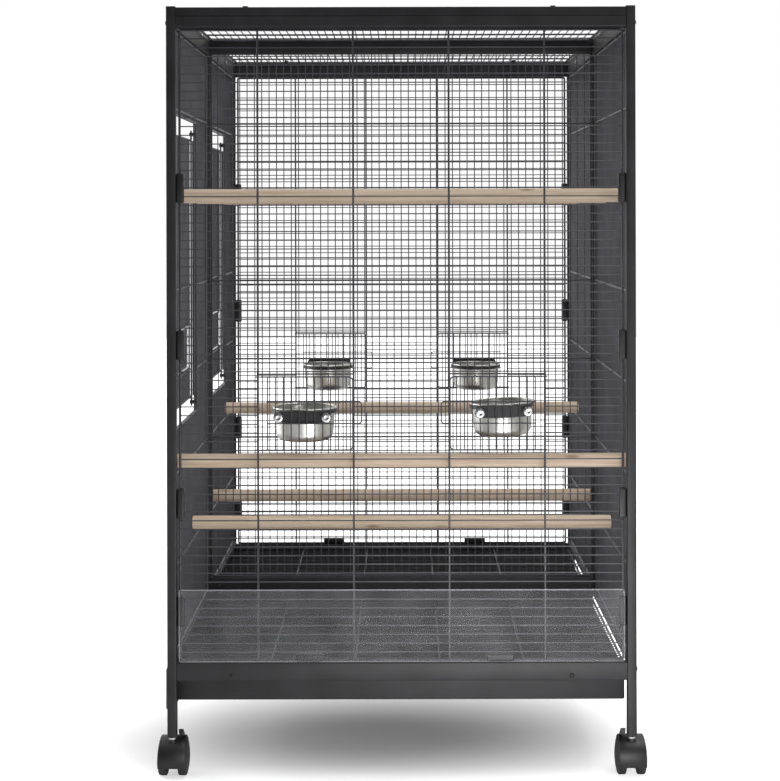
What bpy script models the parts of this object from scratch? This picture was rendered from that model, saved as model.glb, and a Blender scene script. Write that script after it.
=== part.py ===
"""Two-compartment flight cage on casters: tube frame, wire panels, doors, trays and perches.

Units are metres, +Z is up. X runs along the short end, Y along the length, and the origin
lies on the floor under the middle of the cage. The front end faces -Y, the doors' side -X.
"""

import math

import bmesh
import bpy
from mathutils import Matrix, Vector

MM = 0.001

# Whole cage, over the corner posts
WIDTH = 752 * MM
LENGTH = 970 * MM
HEIGHT = 1236 * MM
GAP = 0.3 * MM

# Frame
TUBE = 15 * MM
TUBE_EDGE = 1.2 * MM
POST_FOOT = 65.5 * MM
TOP_BAR_HEIGHT = 33.5 * MM
TOP_BAR_DROP = 1.2 * MM
TOP_BAR_GROOVE = 1.0 * MM
END_BAR_TOP = 185 * MM
END_BAR_HEIGHT = 29 * MM
MIDDLE_BAR_TOP = 217 * MM
SIDE_RAIL_TOP = 193 * MM
SIDE_RAIL_HEIGHT = 13 * MM
TRAY_LEDGE_REACH = 9 * MM
GRATE_LEDGE_REACH = 5.5 * MM
LEDGE_THICK = 2 * MM

# Wire panels, as laid: fine wires outside, support wires inside
PANEL_INSET = 6 * MM
PANEL_SIDE_GAP = 3.5 * MM
EDGE_WIDE = 4 * MM
FINE_WIRE = 2 * MM
SUPPORT_WIRE = 3.5 * MM
WELD_INSET = 0.25 * MM
END_PITCH = 14.1 * MM
UPRIGHT_PITCH = 13.8 * MM
END_SUPPORT_STEP = 153.6 * MM
SIDE_SUPPORT_TOP = 1074 * MM
SIDE_SUPPORT_STEP = 148 * MM
ROOF_SUPPORT_INSET = 97 * MM

# Feeder doors, two in each end panel, each with a bowl in a ring holder
FEEDER_SILL = 525 * MM
FEEDER_TALL = 120 * MM
FEEDER_BAR_PITCH = 12.6 * MM
JAMB = 4.5 * MM
DOOR_EDGE = 3.5 * MM
DOOR_RUNG = 2 * MM
DOOR_PLAY = 1.0 * MM
HINGE_RADIUS = 2.6 * MM
LATCH_LOOP_REACH = 13 * MM
FEEDER_RUNG_LOW = 567.4 * MM
FEEDER_RUNG_HIGH = 602 * MM
BOWL_RIM_Z = 589 * MM
BOWL_RIM_RADIUS = 50.5 * MM
BOWL_BASE_RADIUS = 34 * MM
BOWL_DEEP = 55 * MM
BOWL_WALL = 1.6 * MM
BOWL_LIP = 3.5 * MM
RING_TALL = 6 * MM
RING_WALL = 3 * MM
RING_PLATE_WIDE = 76 * MM
RING_PLATE_TALL = 17 * MM
RING_PLATE_THICK = 3 * MM
RING_OFF_DOOR = 4 * MM

# How far each bowl hangs outside the middle of its door, and above BOWL_RIM_Z
BOWL_SHIFTS = {
    "front_left": (5 * MM, 0),
    "front_right": (10 * MM, 8 * MM),
    "back_left": (5 * MM, 0),
    "back_right": (5 * MM, 0),
}

# Large doors in the left side, one to each compartment
ACCESS_SILL = 579 * MM
ACCESS_HEAD = 1036 * MM
ACCESS_GAP_BELOW = 22 * MM
ACCESS_GAP_ABOVE = 27 * MM
ACCESS_NEAR = 28 * MM
ACCESS_WIDE = 267 * MM
ACCESS_LATCH_LOW = 644 * MM
ACCESS_LATCH_HIGH = 713 * MM
ACCESS_LATCH_REACH = 132 * MM
ACCESS_LATCH_WIRE = 3 * MM
LATCH_GUIDE = 5 * MM

# Floor: grates over pull-out trays, and the clear guard
GRATE_TOP = 177.5 * MM
GRATE_STEP = 137 * MM
TRAY_FLOOR_Z = 120.5 * MM
TRAY_TALL = 45 * MM
TRAY_WALL = 1.5 * MM
TRAY_LIP = 6 * MM
TRAY_PLAY = 2 * MM
TRAY_END_GAP = 1 * MM
FASCIA_LOW = 104 * MM
FASCIA_PROUD = 5 * MM
FASCIA_DEEP = 14 * MM
GUARD_TALL = 116 * MM
GUARD_THICK = 2.5 * MM

# Perches: radius and, for each, how far behind the front face and how high its axis lies
PERCH_RADIUS = 11.5 * MM
PERCH_SLOT_WIDE = 3 * MM
PERCH_SLOT_DEEP = 9 * MM
UPPER_PERCH_Z = 928 * MM
MIDDLE_PERCH_Z = 504 * MM
LOWER_PERCH_Z = 367 * MM
PERCHES = {
    "perch_upper_front": (77 * MM, UPPER_PERCH_Z),
    "perch_upper_middle": (296 * MM, UPPER_PERCH_Z),
    "perch_upper_back": (751 * MM, UPPER_PERCH_Z),
    "perch_middle_front": (32 * MM, MIDDLE_PERCH_Z),
    "perch_middle_back": (767 * MM, MIDDLE_PERCH_Z),
    "perch_lower_front": (234 * MM, LOWER_PERCH_Z),
    "perch_lower_back": (510 * MM, LOWER_PERCH_Z),
}

# Casters
WHEEL_RADIUS = 29 * MM
WHEEL_WIDE = 20.5 * MM
WHEEL_APART = 10 * MM
WHEEL_EDGE = 3 * MM
WHEEL_SIDES = 24
HOOD_SIDES = 20
AXLE_RADIUS = 3.5 * MM
AXLE_PLAY = 0.4 * MM
CASTER_TRAIL = 14 * MM
HOOD_PLAY = 2 * MM
HOOD_WALL = 3 * MM
HOOD_WIDE = 51 * MM
HOOD_SKIRT = 10 * MM
HOOD_EDGE = 2.5 * MM
SPINE_WIDE = 8 * MM
COLLAR_RADIUS = 7 * MM
STEM_RADIUS = 4 * MM
STEM_TALL = 26 * MM
STEM_PLAY = 0.5 * MM
BRAKE_WIDE = 8 * MM
BRAKE_LONG = 17 * MM
BRAKE_THICK = 3.5 * MM
BRAKE_LIFT = math.radians(18)
SWIVEL_CLEAR = 1 * MM

# Worked-out planes that several pieces share
POST_X = WIDTH / 2 - TUBE / 2
POST_Y = LENGTH / 2 - TUBE / 2
END_PLANE = LENGTH / 2 - PANEL_INSET
SIDE_PLANE = WIDTH / 2 - PANEL_INSET
TOP_BAR_TOP = HEIGHT - TOP_BAR_DROP
TOP_BAR_BOTTOM = TOP_BAR_TOP - TOP_BAR_HEIGHT
PANEL_HALF_X = WIDTH / 2 - TUBE - PANEL_SIDE_GAP
PANEL_DEEP = 2 * WELD_INSET + FINE_WIRE + GAP + SUPPORT_WIRE
BAY_START = TUBE / 2
BAY_END = LENGTH / 2 - TUBE
FEEDER_OUTER_X = 1.5 * END_SUPPORT_STEP
FEEDER_INNER_X = 0.5 * END_SUPPORT_STEP
DOOR_DEEP = WELD_INSET + FINE_WIRE + GAP + DOOR_RUNG + WELD_INSET
DOOR_AXIS_OUT = DOOR_PLAY + DOOR_DEEP / 2
AXLE_Z = WHEEL_RADIUS * math.cos(math.pi / WHEEL_SIDES)
HOOD_RADIUS = WHEEL_RADIUS + HOOD_PLAY + HOOD_WALL


def clear_scene():
    """Remove every object that the file opened with."""
    for obj in list(bpy.data.objects):
        bpy.data.objects.remove(obj)


def new_collection(name, hidden=False):
    made = bpy.data.collections.new(name)
    made.hide_render = hidden
    bpy.context.scene.collection.children.link(made)
    return made


def paint(name, colour, roughness, metallic, alpha=1.0):
    """A Principled material of one colour."""
    material = bpy.data.materials.new(name)
    material.use_nodes = True
    shader = material.node_tree.nodes["Principled BSDF"]
    shader.inputs["Base Color"].default_value = (*colour, 1)
    shader.inputs["Roughness"].default_value = roughness
    shader.inputs["Metallic"].default_value = metallic
    shader.inputs["Alpha"].default_value = alpha
    return material


def add_object(name, mesh, material, collection, origin=(0, 0, 0)):
    """An object whose mesh is given in world places, with its origin moved to a joint or corner."""
    mesh.transform(Matrix.Translation(-Vector(origin)))
    obj = bpy.data.objects.new(name, mesh)
    obj.location = origin
    if material:
        mesh.materials.append(material)
    collection.objects.link(obj)
    return obj


def put_box(bm, low, high):
    """Add one box to a bmesh, from its lowest to its highest corner."""
    low, high = Vector(low), Vector(high)
    size = high - low
    place = Matrix.Translation((low + high) / 2) @ Matrix.Diagonal((*size, 1))
    bmesh.ops.create_cube(bm, size=1, matrix=place)


def boxes_mesh(name, boxes):
    bm = bmesh.new()
    for low, high in boxes:
        put_box(bm, low, high)
    mesh = bpy.data.meshes.new(name)
    bm.to_mesh(mesh)
    bm.free()
    return mesh


def rod_mesh(name, radius, start, end, sides, turn=0.0):
    """A straight rod of flat sides, capped, from start to end."""
    start, end = Vector(start), Vector(end)
    along = end - start
    spin = along.to_track_quat("Z", "Y").to_matrix().to_4x4()
    place = Matrix.Translation((start + end) / 2) @ spin @ Matrix.Rotation(turn, 4, "Z")
    bm = bmesh.new()
    bmesh.ops.create_cone(
        bm, cap_ends=True, segments=sides, radius1=radius, radius2=radius, depth=along.length, matrix=place
    )
    mesh = bpy.data.meshes.new(name)
    bm.to_mesh(mesh)
    bm.free()
    return mesh


def add_bevel(obj, width):
    bevel = obj.modifiers.new("edges", "BEVEL")
    bevel.width = width
    bevel.segments = 1
    bevel.limit_method = "ANGLE"
    return obj


def combine(obj, operation, mesh, cutters, overlapping=False):
    """Join a mesh to an object, or cut it away, with a Boolean modifier."""
    helper = add_object(f"{obj.name}_{operation.lower()}_{len(obj.modifiers)}", mesh, None, cutters)
    helper.hide_render = True
    helper.display_type = "WIRE"
    boolean = obj.modifiers.new(operation.lower(), "BOOLEAN")
    boolean.operation = operation
    boolean.object = helper
    boolean.solver = "EXACT"
    boolean.use_self = overlapping
    return obj


def turned(name, profile, steps, material, collection, origin, closed=False):
    """A profile of (radius, height) points, outer side downwards, turned about the origin's upright."""
    edges = [(i, i + 1) for i in range(len(profile) - 1)]
    if closed:
        edges.append((len(profile) - 1, 0))
    mesh = bpy.data.meshes.new(name)
    mesh.from_pydata([(radius, 0, height) for radius, height in profile], edges, [])
    obj = bpy.data.objects.new(name, mesh)
    obj.location = origin
    mesh.materials.append(material)
    collection.objects.link(obj)
    screw = obj.modifiers.new("turn", "SCREW")
    screw.steps = steps
    screw.render_steps = steps
    screw.use_merge_vertices = True
    screw.merge_threshold = 0.00005
    screw.use_smooth_shade = True
    return obj


def spread(first, last, pitch):
    """Places of wires at about this pitch, equally spaced and clear of both ends."""
    count = max(1, round((last - first) / pitch))
    return [first + (last - first) * i / count for i in range(1, count)]


def split(low, high, holes):
    """The stretches from low to high that the holes, sorted (start, end) pairs, leave over."""
    left = []
    for start, end in holes:
        left.append((low, start))
        low = end
    left.append((low, high))
    return left


class WirePanel:
    """A flat welded wire panel, laid out in its own plane as across, up and depth.

    Depth runs inwards from the panel's outer face, and to_world turns the three into a place.
    The edge is a rectangle of flat bar. Fine three-sided wires run up between the edge bars,
    or across where sideways is set. Support wires lie behind them at right angles.
    """

    def __init__(self, name, across, up, to_world, sideways=False, edge=EDGE_WIDE, support=SUPPORT_WIRE):
        self.name = name
        self.across = across
        self.up = up
        self.to_world = to_world
        self.sideways = sideways
        self.edge = edge
        self.support = support
        self.deep = 2 * WELD_INSET + FINE_WIRE + GAP + support
        self.holes = []
        self.bars = []
        self.wires = []

    def corners(self, across, up, depth):
        """The world box of a stretch of the panel."""
        one = self.to_world(across[0], up[0], depth[0])
        two = self.to_world(across[1], up[1], depth[1])
        low = [min(a, b) for a, b in zip(one, two)]
        high = [max(a, b) for a, b in zip(one, two)]
        return low, high

    def add_bar(self, across, up, depth):
        self.bars.append(self.corners(across, up, depth))

    def support_depth(self):
        """Where the support wires lie, from their outer to their inner side."""
        outer = WELD_INSET + FINE_WIRE + GAP
        return (outer, outer + self.support)

    def add_hole(self, across, up):
        """An opening with a jamb bar on each side of it, outside the clear size."""
        self.holes.append((across, up))
        full = (0, self.deep)
        within = (WELD_INSET / 2, self.deep - WELD_INSET / 2)
        wide = (across[0] - JAMB / 2, across[1] + JAMB / 2)
        tall = (up[0] - JAMB, up[1] + JAMB)
        self.add_bar((across[0] - JAMB, across[0]), tall, full)
        self.add_bar((across[1], across[1] + JAMB), tall, full)
        self.add_bar(wide, (up[0] - JAMB + WELD_INSET, up[0]), within)
        self.add_bar(wide, (up[1], up[1] + JAMB - WELD_INSET), within)

    def stretches(self, place, sideways, half):
        """The stretches of a wire at this place that the openings leave, ends sunk in the bars."""
        bite = self.edge / 2
        if sideways:
            span, met = self.across, [hole[0] for hole in self.holes if self.meets(hole[1], place, half)]
        else:
            span, met = self.up, [hole[1] for hole in self.holes if self.meets(hole[0], place, half)]
        return split(span[0] + bite, span[1] - bite, [(a - JAMB / 2, b + JAMB / 2) for a, b in sorted(met)])

    def meets(self, cross, place, half):
        return cross[0] - JAMB - half < place < cross[1] + JAMB + half

    def fine_wires(self, places):
        """Fine wires at the given places, cut at the openings that they meet."""
        for place in places:
            for start, end in self.stretches(place, self.sideways, FINE_WIRE / 2):
                if self.sideways:
                    self.wires.append(((start, place), (end, place)))
                else:
                    self.wires.append(((place, start), (place, end)))

    def support_wires(self, places):
        """Support wires behind the fine ones, stopped in the jambs of the openings they meet."""
        half = self.support / 2
        for place in places:
            for start, end in self.stretches(place, not self.sideways, -JAMB):
                side = (place - half, place + half)
                if self.sideways:
                    self.add_bar(side, (start, end), self.support_depth())
                else:
                    self.add_bar((start, end), side, self.support_depth())

    def put_wire(self, bm, start, end):
        """A fine wire of three sides, its flat side inwards."""
        radius = FINE_WIRE / math.sqrt(3)
        depth = WELD_INSET + radius
        one = Vector(self.to_world(*start, depth))
        two = Vector(self.to_world(*end, depth))
        outward = (Vector(self.to_world(0, 0, 0)) - Vector(self.to_world(0, 0, 1))).normalized()
        along = (two - one).normalized()
        turn = Matrix((outward.cross(along), outward, along)).transposed().to_4x4()
        place = Matrix.Translation((one + two) / 2) @ turn
        size = {"segments": 3, "radius1": radius, "radius2": radius, "depth": (two - one).length}
        bmesh.ops.create_cone(bm, cap_ends=True, matrix=place, **size)

    def build(self, material, collection, cutters, origin=(0, 0, 0)):
        outer = boxes_mesh(self.name, [self.corners(self.across, self.up, (0, self.deep))])
        obj = add_object(self.name, outer, material, collection, origin)
        inner_across = (self.across[0] + self.edge, self.across[1] - self.edge)
        inner_up = (self.up[0] + self.edge, self.up[1] - self.edge)
        past = (-self.deep, 2 * self.deep)
        window = boxes_mesh(f"{self.name}_window", [self.corners(inner_across, inner_up, past)])
        combine(obj, "DIFFERENCE", window, cutters)
        bm = bmesh.new()
        for low, high in self.bars:
            put_box(bm, low, high)
        for start, end in self.wires:
            self.put_wire(bm, start, end)
        rods = bpy.data.meshes.new(f"{self.name}_rods")
        bm.to_mesh(rods)
        bm.free()
        combine(obj, "UNION", rods, cutters, overlapping=True)
        return obj


def end_to_world(end, proud=0.0):
    """Panel places on an end, where end is -1 at the front and 1 at the back."""
    return lambda across, up, depth: (across, end * (END_PLANE + proud - depth), up)


def side_to_world(side, proud=0.0):
    """Panel places on a long side, where side is -1 at the left and 1 at the right."""
    return lambda across, up, depth: (side * (SIDE_PLANE + proud - depth), across, up)


def roof_to_world(across, up, depth):
    return (across, up, TOP_BAR_TOP - depth)


def divider_to_world(across, up, depth):
    return (across, PANEL_DEEP / 2 - depth, up)


def grate_to_world(across, up, depth):
    return (across, up, GRATE_TOP - depth)


def bay_span(bay):
    """Where a compartment's inside runs along Y: bay is -1 for the front one, 1 for the back."""
    return tuple(sorted((bay * BAY_START, bay * BAY_END)))


def side_support_heights():
    low = SIDE_RAIL_TOP + 2 * EDGE_WIDE
    heights = []
    height = SIDE_SUPPORT_TOP
    while height > low:
        heights.append(height)
        height -= SIDE_SUPPORT_STEP
    return heights


def build_posts(steel, collection, cutters):
    for end, end_name in ((-1, "front"), (1, "back")):
        for side, side_name in ((-1, "left"), (1, "right")):
            x, y = side * POST_X, end * POST_Y
            half = TUBE / 2
            mesh = boxes_mesh("post", [((x - half, y - half, POST_FOOT), (x + half, y + half, HEIGHT))])
            post = add_object(f"post_{end_name}_{side_name}", mesh, steel, collection, (x, y, POST_FOOT))
            add_bevel(post, TUBE_EDGE)
            top = POST_FOOT + STEM_TALL + STEM_PLAY
            bore = rod_mesh("bore", STEM_RADIUS + STEM_PLAY, (x, y, POST_FOOT - TUBE), (x, y, top), 12)
            combine(post, "DIFFERENCE", bore, cutters)


def bar_outline(inner, outer):
    """Half of a crossbar's section as (across, up) points, with a groove along its outer face."""
    middle = (TOP_BAR_TOP + TOP_BAR_BOTTOM) / 2
    groove = TOP_BAR_GROOVE
    return [
        (inner, TOP_BAR_BOTTOM),
        (outer, TOP_BAR_BOTTOM),
        (outer, middle - groove),
        (outer - math.copysign(groove, outer), middle),
        (outer, middle + groove),
        (outer, TOP_BAR_TOP),
        (inner, TOP_BAR_TOP),
    ]


def extruded(name, outline, start, end, along_x):
    """A closed outline in the upright plane, drawn out along X or Y."""
    bm = bmesh.new()
    if along_x:
        points = [(start, across, up) for across, up in outline]
        way = Vector((end - start, 0, 0))
    else:
        points = [(across, start, up) for across, up in outline]
        way = Vector((0, end - start, 0))
    face = bm.faces.new([bm.verts.new(point) for point in points])
    drawn = bmesh.ops.extrude_face_region(bm, geom=[face])["geom"]
    bmesh.ops.translate(bm, vec=way, verts=[item for item in drawn if isinstance(item, bmesh.types.BMVert)])
    bmesh.ops.recalc_face_normals(bm, faces=bm.faces)
    mesh = bpy.data.meshes.new(name)
    bm.to_mesh(mesh)
    bm.free()
    return mesh


def build_frame_bars(steel, collection, cutters):
    """The crossbars and rails between the corner posts, and the welded hoop in the middle."""
    inside = WIDTH / 2 - TUBE - GAP
    outer_y = LENGTH / 2
    for end, name in ((-1, "front"), (1, "back")):
        outline = bar_outline(end * (outer_y - TUBE), end * outer_y)
        mesh = extruded(f"top_bar_{name}", outline, -inside, inside, along_x=True)
        add_object(f"top_bar_{name}", mesh, steel, collection)
        low = END_BAR_TOP - END_BAR_HEIGHT
        near, far = sorted((end * (outer_y - TUBE), end * outer_y))
        mesh = boxes_mesh("bar", [((-inside, near, low), (inside, far, END_BAR_TOP))])
        bar = add_bevel(add_object(f"bottom_bar_{name}", mesh, steel, collection), TUBE_EDGE)
        combine(bar, "UNION", boxes_mesh("ledges", end_ledges(end, inside)), cutters)
    hoop = TUBE / 2 + GAP
    for side, name in ((-1, "left"), (1, "right")):
        reach = outer_y - TUBE - GAP
        outline = bar_outline(side * (WIDTH / 2 - TUBE), side * WIDTH / 2)
        mesh = extruded(f"top_rail_{name}", outline, -reach, reach, along_x=False)
        rail = add_object(f"top_rail_{name}", mesh, steel, collection)
        notch_for_hoop(rail, side, TOP_BAR_BOTTOM, TOP_BAR_TOP, hoop, cutters)
        low = SIDE_RAIL_TOP - SIDE_RAIL_HEIGHT
        near, far = sorted((side * (WIDTH / 2 - TUBE), side * WIDTH / 2))
        mesh = boxes_mesh("rail", [((near, -reach, low), (far, reach, SIDE_RAIL_TOP))])
        rail = add_object(f"bottom_rail_{name}", mesh, steel, collection)
        notch_for_hoop(rail, side, low, SIDE_RAIL_TOP, hoop, cutters)


def notch_for_hoop(rail, side, low, high, half, cutters):
    """Cut the rail's inner half where the middle hoop's upright passes it."""
    near, far = sorted((side * (WIDTH / 2 - TUBE - TUBE), side * (WIDTH / 2 - TUBE / 2 + GAP)))
    box = ((near, -half, low - TUBE), (far, half, high + TUBE))
    combine(rail, "DIFFERENCE", boxes_mesh("notch", [box]), cutters)


def ledge_levels():
    """Top and reach of a crossbar's two ledges: the tray's lip runs on one, the grate on the other."""
    return (
        (tray_lip_bottom() - GAP, TRAY_LEDGE_REACH),
        (GRATE_TOP - PANEL_DEEP - GAP, GRATE_LEDGE_REACH),
    )


def end_ledges(end, inside):
    """The ledges of a bottom bar, rooted in its inner side."""
    root = LENGTH / 2 - TUBE * 3 / 4
    boxes = []
    for top, reach in ledge_levels():
        near, far = sorted((end * root, end * (LENGTH / 2 - TUBE - reach)))
        boxes.append(((-inside + TUBE, near, top - LEDGE_THICK), (inside - TUBE, far, top)))
    return boxes


def tray_lip_bottom():
    return TRAY_FLOOR_Z + TRAY_TALL - TRAY_WALL


def build_middle_frame(steel, collection, cutters):
    """The hoop between the compartments: two uprights, a top bar and a bottom bar with tray ledges.

    Between the rails its uprights are as wide as the posts. At the rails only their inner half
    runs on, through the notches.
    """
    outer, inner = WIDTH / 2, WIDTH / 2 - TUBE
    lapped = WIDTH / 2 - TUBE / 2
    half = TUBE / 2
    low = END_BAR_TOP - END_BAR_HEIGHT
    mesh = boxes_mesh("hoop", [((-lapped, -half, low), (lapped, half, TOP_BAR_TOP))])
    hoop = add_object("middle_frame", mesh, steel, collection)
    clear = half - WELD_INSET
    wide = ((-outer, -clear, SIDE_RAIL_TOP + GAP), (outer, clear, TOP_BAR_BOTTOM - GAP))
    combine(hoop, "UNION", boxes_mesh("uprights", [wide]), cutters)
    past = 2 * TUBE
    window = boxes_mesh("window", [((-inner, -past, MIDDLE_BAR_TOP), (inner, past, TOP_BAR_BOTTOM))])
    combine(hoop, "DIFFERENCE", window, cutters)
    ledges = []
    for top, reach in ledge_levels():
        across = half + reach
        ledges.append(((-inner + TUBE, -across, top - LEDGE_THICK), (inner - TUBE, across, top)))
    combine(hoop, "UNION", boxes_mesh("ledges", ledges), cutters)


def build_end_panels(steel, collection, cutters):
    across = (-PANEL_HALF_X, PANEL_HALF_X)
    up = (END_BAR_TOP + GAP, TOP_BAR_BOTTOM - GAP)
    for end, name in ((-1, "front"), (1, "back")):
        panel = WirePanel(f"end_panel_{name}", across, up, end_to_world(end), sideways=True)
        for low, high in ((-FEEDER_OUTER_X, -FEEDER_INNER_X), (FEEDER_INNER_X, FEEDER_OUTER_X)):
            panel.add_hole((low + JAMB / 2, high - JAMB / 2), (FEEDER_SILL, FEEDER_SILL + FEEDER_TALL))
        panel.support_wires([-FEEDER_OUTER_X, -FEEDER_INNER_X, FEEDER_INNER_X, FEEDER_OUTER_X])
        for low, high in ((up[0], FEEDER_SILL - JAMB), (FEEDER_SILL + FEEDER_TALL + JAMB, up[1])):
            panel.fine_wires(spread(low, high, END_PITCH))
        panel.fine_wires(spread(FEEDER_SILL, FEEDER_SILL + FEEDER_TALL, END_PITCH))
        panel.build(steel, collection, cutters)


def access_span(bay):
    """A large door's opening along Y: the same way round in both compartments."""
    start = -LENGTH / 2 if bay < 0 else 0
    return (start + ACCESS_NEAR, start + ACCESS_NEAR + ACCESS_WIDE)


def build_side_panels(steel, collection, cutters):
    up = (SIDE_RAIL_TOP + GAP, TOP_BAR_BOTTOM - GAP)
    heights = side_support_heights()
    for bay, bay_name in ((-1, "front"), (1, "back")):
        low, high = bay_span(bay)
        across = (low + GAP, high - GAP)
        places = spread(*across, UPRIGHT_PITCH)
        right = WirePanel(f"side_panel_right_{bay_name}", across, up, side_to_world(1))
        right.support_wires(heights)
        right.fine_wires(places)
        right.build(steel, collection, cutters)
        left = WirePanel(f"side_panel_left_{bay_name}", across, up, side_to_world(-1))
        hole = access_span(bay)
        left.add_hole(hole, (ACCESS_SILL - ACCESS_GAP_BELOW, ACCESS_HEAD + ACCESS_GAP_ABOVE))
        left.support_wires(heights)
        left.fine_wires(places)
        left.build(steel, collection, cutters)


def build_roof(steel, collection, cutters):
    across = (-PANEL_HALF_X, PANEL_HALF_X)
    for bay, name in ((-1, "front"), (1, "back")):
        low, high = bay_span(bay)
        up = (low + GAP, high - GAP)
        panel = WirePanel(f"roof_panel_{name}", across, up, roof_to_world)
        panel.support_wires([low + ROOF_SUPPORT_INSET, high - ROOF_SUPPORT_INSET])
        panel.fine_wires(spread(*across, UPRIGHT_PITCH))
        panel.build(steel, collection, cutters)


def build_divider(steel, collection, cutters):
    half = WIDTH / 2 - TUBE - GAP
    up = (MIDDLE_BAR_TOP + GAP, TOP_BAR_BOTTOM - GAP)
    panel = WirePanel("divider_panel", (-half, half), up, divider_to_world)
    panel.support_wires(side_support_heights())
    panel.fine_wires(spread(-half, half, UPRIGHT_PITCH))
    panel.build(steel, collection, cutters)


def build_feeder_doors(steel, collection, cutters):
    """Doors hung on their outer uprights, each with a loop that springs over the inner upright."""
    up = (FEEDER_SILL - DOOR_EDGE / 2, FEEDER_SILL + FEEDER_TALL + DOOR_EDGE / 2)
    for end, end_name in ((-1, "front"), (1, "back")):
        for side, side_name in ((-1, "left"), (1, "right")):
            hinge, free = side * FEEDER_OUTER_X, side * FEEDER_INNER_X
            across = tuple(sorted((hinge + side * DOOR_EDGE / 2, free - side * DOOR_EDGE / 2)))
            name = f"feeder_door_{end_name}_{side_name}"
            to_world = end_to_world(end, DOOR_PLAY + DOOR_DEEP)
            panel = WirePanel(name, across, up, to_world, edge=DOOR_EDGE, support=DOOR_RUNG)
            panel.fine_wires(spread(*across, FEEDER_BAR_PITCH))
            panel.support_wires([FEEDER_RUNG_LOW, FEEDER_RUNG_HIGH])
            add_latch_loop(panel, side, free)
            axis = (hinge, end * (END_PLANE + DOOR_AXIS_OUT), up[0])
            door = panel.build(steel, collection, cutters, axis)
            add_hinge_rod(door, axis, up, cutters)


def add_latch_loop(panel, side, free):
    """The two rungs run on past the door's free side and are closed by a short upright."""
    half = DOOR_RUNG / 2
    depth = panel.support_depth()
    tip = free - side * LATCH_LOOP_REACH
    reach = tuple(sorted((free, tip)))
    for height in (FEEDER_RUNG_LOW, FEEDER_RUNG_HIGH):
        panel.add_bar(reach, (height - half + WELD_INSET / 2, height + half - WELD_INSET / 2), depth)
    panel.add_bar((tip - half, tip + half), (FEEDER_RUNG_LOW - half, FEEDER_RUNG_HIGH + half), depth)


def add_hinge_rod(door, axis, up, cutters):
    """A round rod along the hinge axis, a little longer than the door's edge bar."""
    past = DOOR_EDGE / 4
    start = (axis[0], axis[1], up[0] - past)
    stop = (axis[0], axis[1], up[1] + past)
    combine(door, "UNION", rod_mesh("hinge", HINGE_RADIUS, start, stop, 8), cutters)


def bowl_centre(where, end, side):
    outwards, higher = BOWL_SHIFTS[where]
    middle = (FEEDER_OUTER_X + FEEDER_INNER_X) / 2
    off = END_PLANE + DOOR_PLAY - RING_OFF_DOOR - RING_PLATE_THICK - BOWL_RIM_RADIUS
    return Vector((side * (middle + outwards), end * off, BOWL_RIM_Z + higher))


def build_bowls(stainless, plastic, collection, cutters):
    """Turned bowls hung by their rims in ring holders that are clamped to the feeder doors."""
    ring_outer = BOWL_RIM_RADIUS - BOWL_LIP + RING_WALL
    body = BOWL_RIM_RADIUS - BOWL_LIP - GAP * 2
    profile = [
        (0, -BOWL_DEEP + BOWL_WALL),
        (BOWL_BASE_RADIUS - BOWL_WALL, -BOWL_DEEP + BOWL_WALL),
        (body - BOWL_WALL, -BOWL_WALL),
        (BOWL_RIM_RADIUS, 0),
        (BOWL_RIM_RADIUS, -BOWL_WALL),
        (body, -BOWL_WALL * 2),
        (body - RING_WALL, -RING_PLATE_TALL - BOWL_WALL),
        (BOWL_BASE_RADIUS, -BOWL_DEEP),
        (0, -BOWL_DEEP),
    ]
    top = -BOWL_WALL * 2 - GAP
    low = top - RING_TALL
    inner = body + GAP * 2
    band = [(inner, top), (ring_outer, top), (ring_outer, low), (inner, low)]
    half = RING_PLATE_WIDE / 2
    for end, end_name in ((-1, "front"), (1, "back")):
        for side, side_name in ((-1, "left"), (1, "right")):
            where = f"{end_name}_{side_name}"
            centre = bowl_centre(where, end, side)
            turned(f"bowl_{where}", profile, 16, stainless, collection, centre)
            holder = turned(f"bowl_holder_{where}", band, 16, plastic, collection, centre, closed=True)
            door_face = end * (END_PLANE + DOOR_PLAY - GAP)
            ring_face = centre.y + end * (ring_outer - RING_WALL / 3)
            near, far = sorted((door_face, ring_face))
            plate_low = (centre.x - half, near, centre.z + top - RING_PLATE_TALL + GAP)
            plate_high = (centre.x + half, far, centre.z + top - GAP)
            combine(holder, "UNION", boxes_mesh("plate", [(plate_low, plate_high)]), cutters)


def build_access_doors(steel, bright, collection, cutters):
    """The large doors, hung on their far edge, and the sliding wire latches inside them."""
    up = (ACCESS_SILL, ACCESS_HEAD)
    for bay, name in ((-1, "front"), (1, "back")):
        near, far = access_span(bay)
        across = (near - DOOR_EDGE / 2, far + DOOR_EDGE / 2)
        to_world = side_to_world(-1, DOOR_PLAY + DOOR_DEEP)
        panel = WirePanel(f"access_door_{name}", across, up, to_world, edge=DOOR_EDGE, support=DOOR_RUNG)
        panel.fine_wires(spread(*across, UPRIGHT_PITCH))
        panel.support_wires([z for z in side_support_heights() if ACCESS_SILL < z < ACCESS_HEAD])
        add_latch_guides(panel, bay)
        axis = (-(SIDE_PLANE + DOOR_AXIS_OUT), far, ACCESS_SILL)
        door = panel.build(steel, collection, cutters, axis)
        add_hinge_rod(door, axis, up, cutters)
        build_latch(f"door_latch_{name}", bay, bright, collection)


def latch_plane():
    """The latch wire's axis lies inside the panel, clear of its support wires."""
    return -(SIDE_PLANE - PANEL_DEEP - GAP - ACCESS_LATCH_WIRE / 2)


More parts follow.
